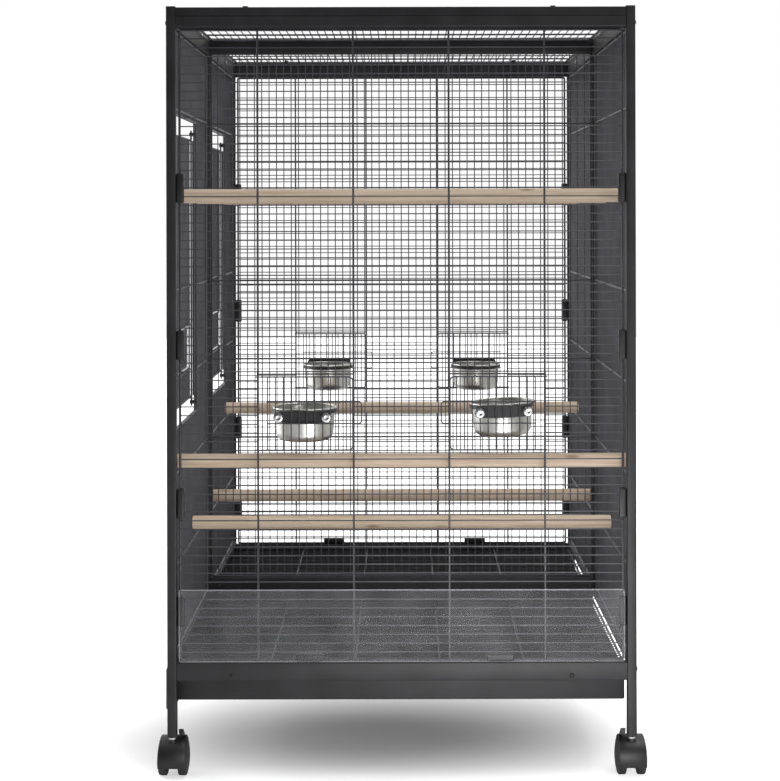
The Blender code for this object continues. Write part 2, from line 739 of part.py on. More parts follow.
def add_latch_guides(panel, bay):
    """A rung under each latch arm, with a finger through the opening that the arm slides on."""
    near, far = access_span(bay)
    outer, inner = panel.support_depth()
    reach = SIDE_PLANE + DOOR_PLAY + DOOR_DEEP + latch_plane() + ACCESS_LATCH_WIRE
    middle = near + ACCESS_LATCH_REACH / 2
    finger = (middle - LATCH_GUIDE, middle + LATCH_GUIDE)
    for height in (ACCESS_LATCH_LOW, ACCESS_LATCH_HIGH):
        top = height - ACCESS_LATCH_WIRE / 2 - GAP
        low = top - LATCH_GUIDE
        panel.add_bar((near, far), (low, top - WELD_INSET), (outer, inner))
        panel.add_bar(finger, (low + WELD_INSET, top), (outer + WELD_INSET, reach))


def build_latch(name, bay, bright, collection):
    """One bent wire: an arm to the jamb, down the grip and an arm back to the jamb."""
    near = access_span(bay)[0]
    x = latch_plane()
    tip = near + GAP + ACCESS_LATCH_WIRE / 4
    grip = near + ACCESS_LATCH_REACH
    points = [
        (x, tip, ACCESS_LATCH_HIGH),
        (x, grip - ACCESS_LATCH_WIRE * 2, ACCESS_LATCH_HIGH),
        (x, grip, ACCESS_LATCH_HIGH - ACCESS_LATCH_WIRE * 2),
        (x, grip, ACCESS_LATCH_LOW + ACCESS_LATCH_WIRE * 2),
        (x, grip - ACCESS_LATCH_WIRE * 2, ACCESS_LATCH_LOW),
        (x, tip, ACCESS_LATCH_LOW),
    ]
    curve = bpy.data.curves.new(name, "CURVE")
    curve.dimensions = "3D"
    curve.bevel_depth = ACCESS_LATCH_WIRE / 2
    curve.bevel_resolution = 1
    curve.use_fill_caps = True
    line = curve.splines.new("POLY")
    line.points.add(len(points) - 1)
    for point, place in zip(line.points, points):
        point.co = (place[0] - x, place[1] - grip, place[2] - ACCESS_LATCH_LOW, 1)
    obj = bpy.data.objects.new(name, curve)
    obj.location = (x, grip, ACCESS_LATCH_LOW)
    curve.materials.append(bright)
    collection.objects.link(obj)


def build_floor(steel, clear, collection, cutters):
    """Grates and trays that pull out to the left, and the clear guard across the front end."""
    left = -WIDTH / 2
    for bay, name in ((-1, "front"), (1, "back")):
        low, high = bay_span(bay)
        up = (low + TRAY_PLAY, high - TRAY_PLAY)
        across = (left + TUBE_EDGE, WIDTH / 2 - TUBE)
        panel = WirePanel(f"grate_{name}", across, up, grate_to_world, sideways=True)
        middle = sum(across) / 2
        panel.support_wires([middle + step * GRATE_STEP / 2 for step in (-3, -1, 1, 3)])
        panel.fine_wires(spread(*up, UPRIGHT_PITCH))
        panel.build(steel, collection, cutters)
        build_tray(f"tray_{name}", up, steel, collection, cutters)
    half = PANEL_HALF_X
    outer = -(END_PLANE + DOOR_PLAY + GUARD_THICK)
    box = ((-half, outer, END_BAR_TOP + GAP), (half, outer + GUARD_THICK, END_BAR_TOP + GAP + GUARD_TALL))
    add_object("seed_guard", boxes_mesh("seed_guard", [box]), clear, collection)


def build_tray(name, span, steel, collection, cutters):
    """A shallow pan with side lips to run on, and a deep folded front."""
    left, right = -WIDTH / 2, WIDTH / 2 - TUBE - TRAY_END_GAP
    lip_top = TRAY_FLOOR_Z + TRAY_TALL
    low, high = span
    inset = TRAY_LEDGE_REACH + GAP
    pan = ((left, low + inset, TRAY_FLOOR_Z), (right, high - inset, lip_top - GAP))
    mesh = boxes_mesh(name, [pan])
    tray = add_object(name, mesh, steel, collection, (left, (low + high) / 2, TRAY_FLOOR_Z))
    lips = ((left, low, tray_lip_bottom()), (right, high, lip_top))
    fascia_top = GRATE_TOP - PANEL_DEEP - GAP * 2
    fascia = (
        (left - FASCIA_PROUD, low + TRAY_LIP, FASCIA_LOW),
        (left - FASCIA_PROUD + FASCIA_DEEP, high - TRAY_LIP, fascia_top),
    )
    combine(tray, "UNION", boxes_mesh("lips", [lips, fascia]), cutters, overlapping=True)
    wall = TRAY_WALL
    hollow = (
        (left + FASCIA_DEEP, low + inset + wall, TRAY_FLOOR_Z + wall),
        (right - wall, high - inset - wall, fascia_top + TUBE),
    )
    combine(tray, "DIFFERENCE", boxes_mesh("hollow", [hollow]), cutters)


def build_perches(wood, collection, cutters):
    half = SIDE_PLANE - PANEL_DEEP - GAP
    slot = PERCH_SLOT_WIDE / 2
    past = 2 * PERCH_RADIUS
    for name, (behind, height) in PERCHES.items():
        y = behind - LENGTH / 2
        rod = rod_mesh(name, PERCH_RADIUS, (-half, y, height), (half, y, height), 12)
        perch = add_object(name, rod, wood, collection, (-half, y, height))
        slots = []
        for side in (-1, 1):
            near, far = sorted((side * (half - PERCH_SLOT_DEEP), side * (half + PERCH_SLOT_DEEP)))
            slots.append(((near, y - slot, height - past), (far, y + slot, height + past)))
        combine(perch, "DIFFERENCE", boxes_mesh("slots", slots), cutters)


def build_casters(plastic, rubber, collection, cutters):
    """Four casters, all trailing towards the middle of the cage. The front two have brakes."""
    for end, end_name in ((-1, "front"), (1, "back")):
        for side, side_name in ((-1, "left"), (1, "right")):
            where = f"{end_name}_{side_name}"
            x, y = side * POST_X, end * POST_Y
            build_caster(where, x, y, -end * CASTER_TRAIL, plastic, rubber, collection, cutters)
            if end < 0:
                build_brake(f"brake_lever_{where}", x, y, side, plastic, collection)


def across_rod(name, radius, centre, span, sides, turn=0.0):
    """A rod along X between two distances from the centre."""
    start, stop = (centre + Vector((reach, 0, 0)) for reach in span)
    return rod_mesh(name, radius, start, stop, sides, turn)


def drum(name, radius, edge, centre, span, sides):
    """A short closed cylinder along X with chamfered rims, standing on a flat side."""
    bm = bmesh.new()
    rings = []
    near, far = span
    rims = ((near, radius - edge), (near + edge, radius), (far - edge, radius), (far, radius - edge))
    for reach, size in rims:
        ring = []
        for step in range(sides):
            angle = (step + 0.5) * 2 * math.pi / sides
            way = Vector((reach, size * math.sin(angle), size * math.cos(angle)))
            ring.append(bm.verts.new(centre + way))
        rings.append(ring)
    for one, two in zip(rings, rings[1:]):
        for i in range(sides):
            bm.faces.new((one[i - 1], one[i], two[i], two[i - 1]))
    bm.faces.new(rings[0])
    bm.faces.new(rings[-1])
    bmesh.ops.recalc_face_normals(bm, faces=bm.faces)
    mesh = bpy.data.meshes.new(name)
    bm.to_mesh(mesh)
    bm.free()
    return mesh


def build_caster(where, x, y, trail, plastic, rubber, collection, cutters):
    """A hood that swivels on its stem, with a pair of wheels on one axle that trails the stem.

    The hood reaches down in front of the wheels, and is open behind them.
    """
    axle = Vector((x, y + trail, AXLE_Z))
    half = HOOD_WIDE / 2
    past = half + HOOD_WALL
    room = WHEEL_RADIUS + HOOD_PLAY
    turn = math.pi / HOOD_SIDES
    mesh = drum("hood", HOOD_RADIUS, HOOD_EDGE, axle, (-half, half), HOOD_SIDES)
    hood = add_object(f"caster_{where}", mesh, plastic, collection, (x, y, AXLE_Z))
    inside = across_rod("room", room, axle, (-past, past), HOOD_SIDES, turn)
    combine(hood, "DIFFERENCE", inside, cutters)
    behind, ahead = sorted((axle.y + math.copysign(2 * room, trail), axle.y))
    open_side = ((x - past, behind, -room), (x + past, ahead, AXLE_Z + WHEEL_RADIUS / 3))
    combine(hood, "DIFFERENCE", boxes_mesh("open_side", [open_side]), cutters)
    below = ((x - past, axle.y - 2 * room, -room), (x + past, axle.y + 2 * room, HOOD_SKIRT))
    combine(hood, "DIFFERENCE", boxes_mesh("below", [below]), cutters)
    low = (x - SPINE_WIDE / 2, axle.y - 3 * AXLE_RADIUS, AXLE_Z - 2 * AXLE_RADIUS)
    high = (x + SPINE_WIDE / 2, axle.y + 3 * AXLE_RADIUS, AXLE_Z + room + HOOD_WALL / 2)
    combine(hood, "UNION", boxes_mesh("web", [(low, high)]), cutters)
    collar_top = POST_FOOT - GAP
    low = AXLE_Z + math.sqrt(room**2 - CASTER_TRAIL**2) + HOOD_WALL / 3
    collar = rod_mesh("collar", COLLAR_RADIUS, (x, y, low), (x, y, collar_top), 16)
    combine(hood, "UNION", collar, cutters)
    low = collar_top - COLLAR_RADIUS / 2
    stem = rod_mesh("stem", STEM_RADIUS, (x, y, low), (x, y, POST_FOOT + STEM_TALL), 12)
    combine(hood, "UNION", stem, cutters)
    bore = across_rod("bore", AXLE_RADIUS + AXLE_PLAY, axle, (-half, half), 12)
    combine(hood, "DIFFERENCE", bore, cutters)
    build_wheels(f"caster_wheels_{where}", axle, rubber, collection, cutters)


def build_wheels(name, axle, rubber, collection, cutters):
    """Two wheels joined by their axle."""
    inner, outer = WHEEL_APART / 2, WHEEL_APART / 2 + WHEEL_WIDE
    mesh = drum("wheel", WHEEL_RADIUS, WHEEL_EDGE, axle, (inner, outer), WHEEL_SIDES)
    wheels = add_object(name, mesh, rubber, collection, axle)
    other = drum("wheel", WHEEL_RADIUS, WHEEL_EDGE, axle, (-outer, -inner), WHEEL_SIDES)
    combine(wheels, "UNION", other, cutters)
    combine(wheels, "UNION", across_rod("axle", AXLE_RADIUS, axle, (-2 * inner, 2 * inner), 12), cutters)


def build_brake(name, x, y, side, plastic, collection):
    """A foot tab that stands up off its brake, clear of the post's corners as the caster swivels."""
    across = x - side * (TUBE / math.sqrt(2) + SWIVEL_CLEAR + BRAKE_WIDE / 2)
    pivot = Vector((across, y + CASTER_TRAIL, AXLE_Z + HOOD_RADIUS + BRAKE_THICK / 2 + GAP))
    half = BRAKE_WIDE / 2
    box = ((-half, -BRAKE_LONG - CASTER_TRAIL, -BRAKE_THICK / 2), (half, 0, BRAKE_THICK / 2))
    mesh = boxes_mesh(name, [box])
    mesh.transform(Matrix.Translation(pivot) @ Matrix.Rotation(-BRAKE_LIFT, 4, "X"))
    lever = add_object(name, mesh, plastic, collection, pivot)
    add_bevel(lever, BRAKE_THICK / 5)


def main():
    clear_scene()
    parts = new_collection("flight_cage")
    cutters = new_collection("cutters", hidden=True)
    steel = paint("powder_coated_steel", (0.028, 0.028, 0.031), 0.45, 0.0)
    stainless = paint("stainless_steel", (0.60, 0.60, 0.58), 0.25, 1.0)
    plastic = paint("black_plastic", (0.018, 0.018, 0.019), 0.5, 0.0)
    rubber = paint("caster_tread", (0.025, 0.025, 0.027), 0.6, 0.0)
    wood = paint("turned_pine", (0.74, 0.57, 0.39), 0.6, 0.0)
    clear = paint("clear_acrylic", (0.9, 0.9, 0.92), 0.1, 0.0, alpha=0.25)
    build_posts(steel, parts, cutters)
    build_frame_bars(steel, parts, cutters)
    build_middle_frame(steel, parts, cutters)
    build_end_panels(steel, parts, cutters)
    build_side_panels(steel, parts, cutters)
    build_roof(steel, parts, cutters)
    build_divider(steel, parts, cutters)
    build_feeder_doors(steel, parts, cutters)
    build_bowls(stainless, plastic, parts, cutters)
    build_access_doors(steel, stainless, parts, cutters)
    build_floor(steel, clear, parts, cutters)
    build_perches(wood, parts, cutters)
    build_casters(plastic, rubber, parts, cutters)


main()
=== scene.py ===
"""Looks of a two-compartment flight cage on casters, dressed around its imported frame.

Units are metres in the frame's own axes: X across the short end, Y along the length, Z up.
The front end faces -Y and the large doors' side faces -X. The origin lies on the floor.
"""
import logging
import math
from dataclasses import dataclass, field
from enum import Enum

import bmesh
import bpy
import numpy as np
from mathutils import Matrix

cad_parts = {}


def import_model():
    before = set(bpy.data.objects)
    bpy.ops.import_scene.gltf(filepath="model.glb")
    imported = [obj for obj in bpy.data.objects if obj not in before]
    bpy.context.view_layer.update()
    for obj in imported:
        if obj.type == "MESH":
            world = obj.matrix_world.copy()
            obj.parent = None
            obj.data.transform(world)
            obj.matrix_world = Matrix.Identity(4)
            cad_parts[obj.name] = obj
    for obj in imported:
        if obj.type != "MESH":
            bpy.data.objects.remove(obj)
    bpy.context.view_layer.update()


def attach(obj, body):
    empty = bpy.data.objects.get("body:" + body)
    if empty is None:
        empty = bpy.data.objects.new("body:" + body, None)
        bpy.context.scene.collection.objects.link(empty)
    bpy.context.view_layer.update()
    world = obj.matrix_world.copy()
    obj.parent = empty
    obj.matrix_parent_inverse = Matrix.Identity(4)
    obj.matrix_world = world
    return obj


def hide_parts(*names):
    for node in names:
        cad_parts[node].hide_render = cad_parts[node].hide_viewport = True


LOG = logging.getLogger("aviary")
MM = 0.001
MERGE = 2e-6
X, Y, Z = 0, 1, 2

# The cage's main planes, as its frame has them
WIDTH, LENGTH = 752 * MM, 970 * MM
TUBE = 15 * MM
GAP = 0.3 * MM
POST_FOOT = 65.5 * MM
BAR_TOP, BAR_BOTTOM = 1234.8 * MM, 1201.3 * MM
END_BAR_LOW, END_BAR_TOP = 156 * MM, 185 * MM
RAIL_LOW, RAIL_TOP = 180 * MM, 193 * MM
MIDDLE_BAR_TOP = 217 * MM
POST_X, POST_Y = (WIDTH - TUBE) / 2, (LENGTH - TUBE) / 2
INSIDE_X = WIDTH / 2 - TUBE - GAP
END_PLANE, SIDE_PLANE = LENGTH / 2 - 6 * MM, WIDTH / 2 - 6 * MM
PANEL_HALF_X = 357.5 * MM
BAY = (7.8 * MM, 469.7 * MM)
DOOR_PLANE = 5.8 * MM
AXIS_PLANE = 3.4 * MM
JAMB_OUTER, JAMB_INNER = 230.4 * MM, 76.8 * MM
ACCESS_RUN = (28 * MM, 295 * MM)
SUPPORT_HEIGHTS = np.array([1074, 926, 778, 630, 482, 334]) * MM
WIRE_PITCH = 13.8 * MM
HOOP_BOTTOM = BAR_BOTTOM + 3.7 * MM
GRATE_TOP = 177.5 * MM
GUARD_TALL = 116 * MM
AXLE_Z = 28.75 * MM


class Way(Enum):
    """A choice whose members print as their word in the names of pieces."""

    def __str__(self) -> str:
        """The member's name in small letters."""
        return self.name.lower()


class End(Way):
    """The two short ends, by the sign of their Y."""

    FRONT = -1
    BACK = 1

    @property
    def start(self) -> float:
        """Where the end's compartment begins along Y."""
        return -LENGTH / 2 if self is End.FRONT else 0.0


class Side(Way):
    """The two long sides, by the sign of their X."""

    LEFT = -1
    RIGHT = 1


CORNERS = tuple((end, side) for end in End for side in Side)


class Coat(Enum):
    """The finishes: the material's name and the record's slot that it stands for."""

    TUBE = ("powder_coated_tube", "powder_coated_steel")
    WIRE = ("powder_coated_wire", "powder_coated_steel")
    STAINLESS = ("spun_stainless_steel", "stainless_steel")
    ZINC = ("bright_zinc_plate", "stainless_steel")
    NYLON = ("moulded_black_nylon", "black_plastic")
    TREAD = ("moulded_dark_tread", "caster_tread")
    PINE = ("turned_bare_pine", "turned_pine")
    CLEAR = ("clear_pressed_sheet", "clear_acrylic")


# ---------------------------------------------------------------- surfaces


@dataclass
class Surface:
    """A mesh in the making: points, faces in blocks of one number of sides, and UV marks."""

    points: np.ndarray
    faces: list[np.ndarray]
    marks: np.ndarray | None = None


def join(parts: list[Surface]) -> Surface:
    """Put several surfaces into one, each keeping its own points.

    Args:
        parts: the surfaces, all with marks or all without.

    Returns:
        One surface.
    """
    starts = np.cumsum([0] + [len(part.points) for part in parts])
    faces = [block + start for part, start in zip(parts, starts) for block in part.faces]
    marks = None if parts[0].marks is None else np.concatenate([part.marks for part in parts])
    return Surface(np.concatenate([part.points for part in parts]), faces, marks)


def copies(surface: Surface, offsets: np.ndarray) -> Surface:
    """Repeat a surface: copy k is every point plus offset k.

    Args:
        surface: the shape at the origin.
        offsets: (copies, 3) places.

    Returns:
        All copies as one surface.
    """
    offsets = np.atleast_2d(np.asarray(offsets, float))
    count = len(surface.points)
    points = (surface.points[None] + offsets[:, None]).reshape(-1, 3)
    shift = np.arange(len(offsets))[:, None, None] * count
    faces = [(block[None] + shift).reshape(-1, block.shape[1]) for block in surface.faces]
    return Surface(points, faces)


def unit(vectors: np.ndarray) -> np.ndarray:
    """Vectors divided by their lengths."""
    return vectors / np.linalg.norm(vectors, axis=-1, keepdims=True)


def skin(rings: np.ndarray, closed: bool = False, capped: bool = True) -> Surface:
    """Skin stacks of rings: face (i, j) joins points j and j + 1 of ring i to those of ring i + 1.

    Args:
        rings: (stacks, rings, sides, 3) places.
        closed: whether each stack's last ring joins its first.
        capped: whether an open stack's two end rings are filled.

    Returns:
        The skins of all stacks.
    """
    index = np.arange(rings[..., 0].size).reshape(rings.shape[:3])
    ahead = np.roll(index, -1, axis=2)
    if closed:
        corners = (index, ahead, np.roll(ahead, -1, axis=1), np.roll(index, -1, axis=1))
    else:
        corners = (index[:, :-1], ahead[:, :-1], ahead[:, 1:], index[:, 1:])
    faces = [np.stack(corners, axis=-1).reshape(-1, 4)]
    if capped and not closed:
        faces += [index[:, 0, ::-1], index[:, -1]]
    return Surface(rings.reshape(-1, 3), faces)


def swept(along: np.ndarray, first: np.ndarray, second: np.ndarray, axis: int = X, **ends: bool) -> Surface:
    """Skin one stack of rings whose coordinates are given one by one.

    Args:
        along: (rings, sides) coordinates along the axis, or what broadcasts to them.
        first: the same along the first of the two other axes.
        second: the same along the second.
        axis: X, Y or Z.
        **ends: closed or capped, as skin has them.

    Returns:
        The skin.
    """
    places = [first, second]
    places.insert(axis, along)
    return skin(np.stack(np.broadcast_arrays(*places), axis=-1)[None], **ends)


def circle(sides: int) -> np.ndarray:
    """Points of the unit circle, (cos a, sin a) at equal angles, as (sides, 2)."""
    angle = (np.arange(sides) + 0.5) * 2 * math.pi / sides
    return np.stack((np.cos(angle), np.sin(angle)), axis=-1)


def rods(starts: np.ndarray, ends: np.ndarray, radius: float, sides: int = 8, soft: float = 0.0) -> Surface:
    """Straight round rods: axis + radius times (cos a x side + sin a x other), ring by ring.

    Args:
        starts: (n, 3) places of one end.
        ends: (n, 3) places of the other.
        radius: of every rod.
        sides: round each rod.
        soft: how much of the radius the ends are chamfered by.

    Returns:
        All rods as one surface.
    """
    starts, ends = np.broadcast_arrays(np.atleast_2d(starts), np.atleast_2d(ends))
    length = np.linalg.norm(ends - starts, axis=1)
    along = (ends - starts) / length[:, None]
    helper = np.where(np.abs(along[:, 2:3]) > 0.9, [[1.0, 0.0, 0.0]], [[0.0, 0.0, 1.0]])
    side = unit(np.cross(along, helper))
    ring = circle(sides)
    around = ring[:, 0, None] * side[:, None] + ring[:, 1, None] * np.cross(along, side)[:, None]
    cut = soft * radius
    reach = np.array([0.0, cut, -cut, 0.0]) if soft else np.zeros(2)
    size = np.array([1 - soft, 1.0, 1.0, 1 - soft]) if soft else np.ones(2)
    base = np.repeat((0.0, 1.0), len(reach) // 2)
    place = base * length[:, None] + reach
    centre = starts[:, None] + along[:, None] * place[:, :, None]
    return skin(centre[:, :, None] + radius * size[None, :, None, None] * around[:, None])


def rounded_path(corners: np.ndarray, radius: float, closed: bool = False, steps: int = 5) -> np.ndarray:
    """A path whose bends are arcs.

    The centre of a bend lies radius / cos(turn / 2) from its corner on the bisector, and its arc is
    centre + radius x (sin((1 - t) turn) first + sin(t turn) last) / sin(turn) for t from 0 to 1.

    Args:
        corners: (n, 3) places.
        radius: of each bend.
        closed: whether the last corner joins the first.
        steps: of each arc.

    Returns:
        The path's points.
    """
    corners = np.asarray(corners, float)
    ring = corners if closed else corners[1:-1]
    before = np.roll(corners, 1, axis=0) if closed else corners[:-2]
    after = np.roll(corners, -1, axis=0) if closed else corners[2:]
    towards, away = unit(ring - before), unit(after - ring)
    turn = np.arccos(np.clip(np.sum(towards * away, axis=1), -1, 1))[:, None]
    centre = ring + unit(away - towards) * radius / np.cos(turn / 2)
    setback = radius * np.tan(turn / 2)
    first, last = unit(ring - towards * setback - centre), unit(ring + away * setback - centre)
    t = np.linspace(0, 1, steps + 1)[None, :, None]
    turn = turn[:, None]
    weighted = np.sin((1 - t) * turn) * first[:, None] + np.sin(t * turn) * last[:, None]
    arcs = (centre[:, None] + radius * weighted / np.sin(turn)).reshape(-1, 3)
    return arcs if closed else np.concatenate((corners[:1], arcs, corners[-1:]))


def bent_rod(path: np.ndarray, normal: tuple, radius: float, sides: int = 8, closed: bool = False) -> Surface:
    """A round rod along a flat path: point + radius (cos a x normal + sin a x (tangent x normal)).

    Args:
        path: (n, 3) points of the axis.
        normal: of the path's plane.
        radius: of the rod.
        sides: round the rod.
        closed: whether the path is a loop.

    Returns:
        The rod.
    """
    path, normal = np.asarray(path, float), np.asarray(normal, float)
    if closed:
        tangent = unit(np.roll(path, -1, axis=0) - np.roll(path, 1, axis=0))
    else:
        tangent = unit(np.gradient(path, axis=0))
    ring = circle(sides)
    around = ring[:, 0, None] * normal + ring[:, 1, None] * np.cross(tangent, normal)[:, None]
    return skin((path[:, None] + radius * around)[None], closed=closed)


def rounded_outline(low: tuple, high: tuple, radius: float, steps: int = 3) -> np.ndarray:
    """A rectangle with quarter-circle corners: corner centre + radius (cos a, sin a).

    Args:
        low: lowest corner, one pair or (k, 2) of them.
        high: highest corner, in the same way.
        radius: of the corners, one or (k,).
        steps: of each quarter.

    Returns:
        (4 (steps + 1), 2) points, or (k, 4 (steps + 1), 2).
    """
    low, high = np.asarray(low, float), np.asarray(high, float)
    radius = np.asarray(radius, float)[..., None]
    angle = np.linspace(0, math.pi / 2, steps + 1)
    angle = (angle[None] + np.arange(4)[:, None] * math.pi / 2).ravel()
    right = np.repeat((1.0, 0.0, 0.0, 1.0), steps + 1)
    top = np.repeat((1.0, 1.0, 0.0, 0.0), steps + 1)
    across = np.where(right > 0, high[..., :1] - radius, low[..., :1] + radius)
    up = np.where(top > 0, high[..., 1:] - radius, low[..., 1:] + radius)
    return np.stack((across + radius * np.cos(angle), up + radius * np.sin(angle)), axis=-1)


def drawn(outline: np.ndarray, axis: int, start: float, end: float, soft: float = 0.0) -> Surface:
    """A closed outline drawn straight along an axis, its end rings shrunk by soft to ease the edge.

    Args:
        outline: (n, 2) points in the two other axes, in their order.
        axis: X, Y or Z.
        start: where it begins.
        end: where it ends.
        soft: width of the chamfer at both ends.

    Returns:
        The bar.
    """
    outline = np.asarray(outline, float)
    middle = (outline.max(axis=0) + outline.min(axis=0)) / 2
    half = (outline.max(axis=0) - outline.min(axis=0)) / 2
    reach = np.array([start, start + soft, end - soft, end]) if soft else np.array([start, end])
    shrink = np.array([1, 0, 0, 1]) if soft else np.zeros(2)
    size = 1 - shrink[:, None] * soft / half
    across, up = np.moveaxis(middle + (outline - middle) * size[:, None], -1, 0)
    return swept(reach[:, None], across, up, axis)


def bar(low: tuple, high: tuple, axis: int, edge: float, steps: int = 3, soft: float = 0.0) -> Surface:
    """A straight bar between two opposite corners, with round long edges.

    Args:
        low: one corner.
        high: the opposite corner.
        axis: X, Y or Z, the way it runs.
        edge: radius of its long edges.
        steps: of each edge's quarter.
        soft: width of the chamfer at both ends.

    Returns:
        The bar.
    """
    low, high = np.minimum(low, high), np.maximum(low, high)
    others = [i for i in range(3) if i != axis]
    return drawn(rounded_outline(low[others], high[others], edge, steps), axis, low[axis], high[axis], soft)


def soft_boxes(boxes: list, edge: float, steps: int = 2) -> Surface:
    """Boxes with round edges: a corner of the box shrunk by edge, plus edge x the way it faces.

    The directions are those of a cube's faces, whose lines are tangents of equal angles.

    Args:
        boxes: pairs of opposite corners.
        edge: radius of the edges.
        steps: of each edge's quarter.

    Returns:
        All boxes as one surface.
    """
    boxes = np.asarray(boxes, float)
    lows, highs = boxes.min(axis=1), boxes.max(axis=1)
    slope = np.tan(np.linspace(-math.pi / 4, 0, steps + 1))
    slope = np.concatenate((slope, -slope[::-1]))
    sign = np.repeat((-1.0, 1.0), steps + 1)
    count = len(slope)
    grid = np.stack(np.meshgrid(slope, slope, indexing="ij"), axis=-1)
    signs = np.stack(np.meshgrid(sign, sign, indexing="ij"), axis=-1)
    ways, corners = np.empty((6, count, count, 3)), np.empty((6, count, count, 3))
    for face in range(6):
        axis, way = face // 2, 1 - 2 * (face % 2)
        others = [(axis + 1) % 3, (axis + 2) % 3]
        ways[face, ..., axis], corners[face, ..., axis] = way, way
        ways[face][..., others], corners[face][..., others] = grid, signs
    middle, half = (highs + lows) / 2, (highs - lows) / 2 - edge
    points = middle[:, None] + half[:, None] * corners.reshape(1, -1, 3) + edge * unit(ways).reshape(1, -1, 3)
    index = np.arange(points[..., 0].size).reshape(-1, count, count)
    quads = (index[:, :-1, :-1], index[:, 1:, :-1], index[:, 1:, 1:], index[:, :-1, 1:])
    return Surface(points.reshape(-1, 3), [np.stack(quads, axis=-1).reshape(-1, 4)])


def lathe(
    profile: list, centre: tuple, steps: int, axis: int = Z, closed: bool = False, marked: bool = False
) -> Surface:
    """A profile turned about an axis: centre + (radius cos a, radius sin a, height).

    Args:
        profile: (radius, height) points.
        centre: of the turning.
        steps: round the axis.
        axis: X, Y or Z.
        closed: whether the profile is a loop; an open one starts and ends on the axis.
        marked: whether UV marks are wanted, the turn and the way along the profile.

    Returns:
        The turned shape.
    """
    profile = np.asarray(profile, float)
    angle = np.arange(steps) * 2 * math.pi / steps
    size, height = profile[:, :1], profile[:, 1:]
    made = swept(height, size * np.cos(angle), size * np.sin(angle), axis, closed=closed, capped=False)
    made.points += np.asarray(centre, float)
    if marked:
        way = np.concatenate(([0], np.cumsum(np.linalg.norm(np.diff(profile, axis=0), axis=1))))
        turn = np.broadcast_to(angle / (2 * math.pi), (len(profile), steps))
        made.marks = np.stack((turn, np.broadcast_to(way[:, None], turn.shape)), axis=-1).reshape(-1, 2)
    return made


def spread(first: float, last: float, pitch: float) -> np.ndarray:
    """Places of wires at about this pitch, equally spaced between first and last.

    Args:
        first: where the space begins.
        last: where it ends.
        pitch: that is aimed for.

    Returns:
        The places, without the two ends.
    """
    count = max(1, round((last - first) / pitch))
    return first + (last - first) * np.arange(1, count) / count


# ---------------------------------------------------------------- finishes

# Most of a noise's values lie between these two
NOISE_SPAN = (0.3, 0.7)


def linear(colour: str) -> tuple[float, float, float, float]:
    """An sRGB hex colour as linear red, green, blue and alpha 1.

    Args:
        colour: as #RRGGBB.

    Returns:
        Red, green, blue and alpha.
    """
    parts = np.array([int(colour[i : i + 2], 16) for i in (1, 3, 5)]) / 255
    parts = np.where(parts <= 0.04045, parts / 12.92, ((parts + 0.055) / 1.055) ** 2.4)
    return (*(float(part) for part in parts), 1.0)


def feed(tree: bpy.types.NodeTree, node: bpy.types.Node, sockets: dict) -> None:
    """Set a node's sockets.

    Args:
        tree: that the node is in.
        node: whose sockets are set.
        sockets: socket name or number to its constant, or to the output that feeds it.
    """
    for socket, value in sockets.items():
        if isinstance(value, bpy.types.NodeSocket):
            tree.links.new(value, node.inputs[socket])
        else:
            node.inputs[socket].default_value = value


def add_node(
    tree: bpy.types.NodeTree, kind: str, sockets: dict | None = None, **options: object
) -> bpy.types.NodeOutputs:
    """Add a node and set its options and sockets.

    Args:
        tree: of the material or world.
        kind: the node's type, without the ShaderNode in front.
        sockets: socket name or number to its constant, or to the output that feeds it.
        **options: the node's own settings.

    Returns:
        The node's outputs.
    """
    node = tree.nodes.new("ShaderNode" + kind)
    for name, option in options.items():
        setattr(node, name, option)
    feed(tree, node, sockets or {})
    return node.outputs


def scaled(value: bpy.types.NodeSocket, span: tuple, ends: tuple) -> dict:
    """Sockets of a range node that leads a value from the two of span to the two of ends."""
    return {"Value": value, "From Min": span[0], "From Max": span[1], "To Min": ends[0], "To Max": ends[1]}


@dataclass(frozen=True)
class Finish:
    """What every finish starts from: a Principled shader named for the real material."""

    coat: Coat

    def pattern(self, tree: bpy.types.NodeTree, place: bpy.types.NodeSocket) -> dict:
        """Lay the finish's nodes.

        Args:
            tree: of the material.
            place: a point's place in the piece's own axes.

        Returns:
            The shader's sockets, each with its constant or the output that feeds it.
        """
        raise NotImplementedError

    def material(self) -> bpy.types.Material:
        """Build the material.

        Returns:
            The material.
        """
        made = bpy.data.materials.new(self.coat.value[0])
        made.use_nodes = True
        tree = made.node_tree
        place = add_node(tree, "TexCoord")["Object"]
        feed(tree, tree.nodes["Principled BSDF"], self.pattern(tree, place))
        return made

    def dress(self, tree: bpy.types.NodeTree, colours: tuple, rough: tuple, bump: tuple = ()) -> dict:
        """Lay what most finishes share: two colours, an uneven roughness and a bump.

        Args:
            tree: of the material.
            colours: two sRGB hex colours and the output that leads from one to the other.
            rough: an output, its low and high values, and the roughness at each.
            bump: an output, the bump's strength and its height, or nothing.

        Returns:
            The shader's sockets.
        """
        first, second, mix = colours
        blend = {0: mix, 6: linear(first), 7: linear(second)}
        sockets = {
            "Base Color": add_node(tree, "Mix", blend, data_type="RGBA")[2],
            "Roughness": add_node(tree, "MapRange", scaled(*rough))["Result"],
        }
        if bump:
            output, strength, height = bump
            values = {"Height": output, "Strength": strength, "Distance": height}
            sockets["Normal"] = add_node(tree, "Bump", values)["Normal"]
        return sockets


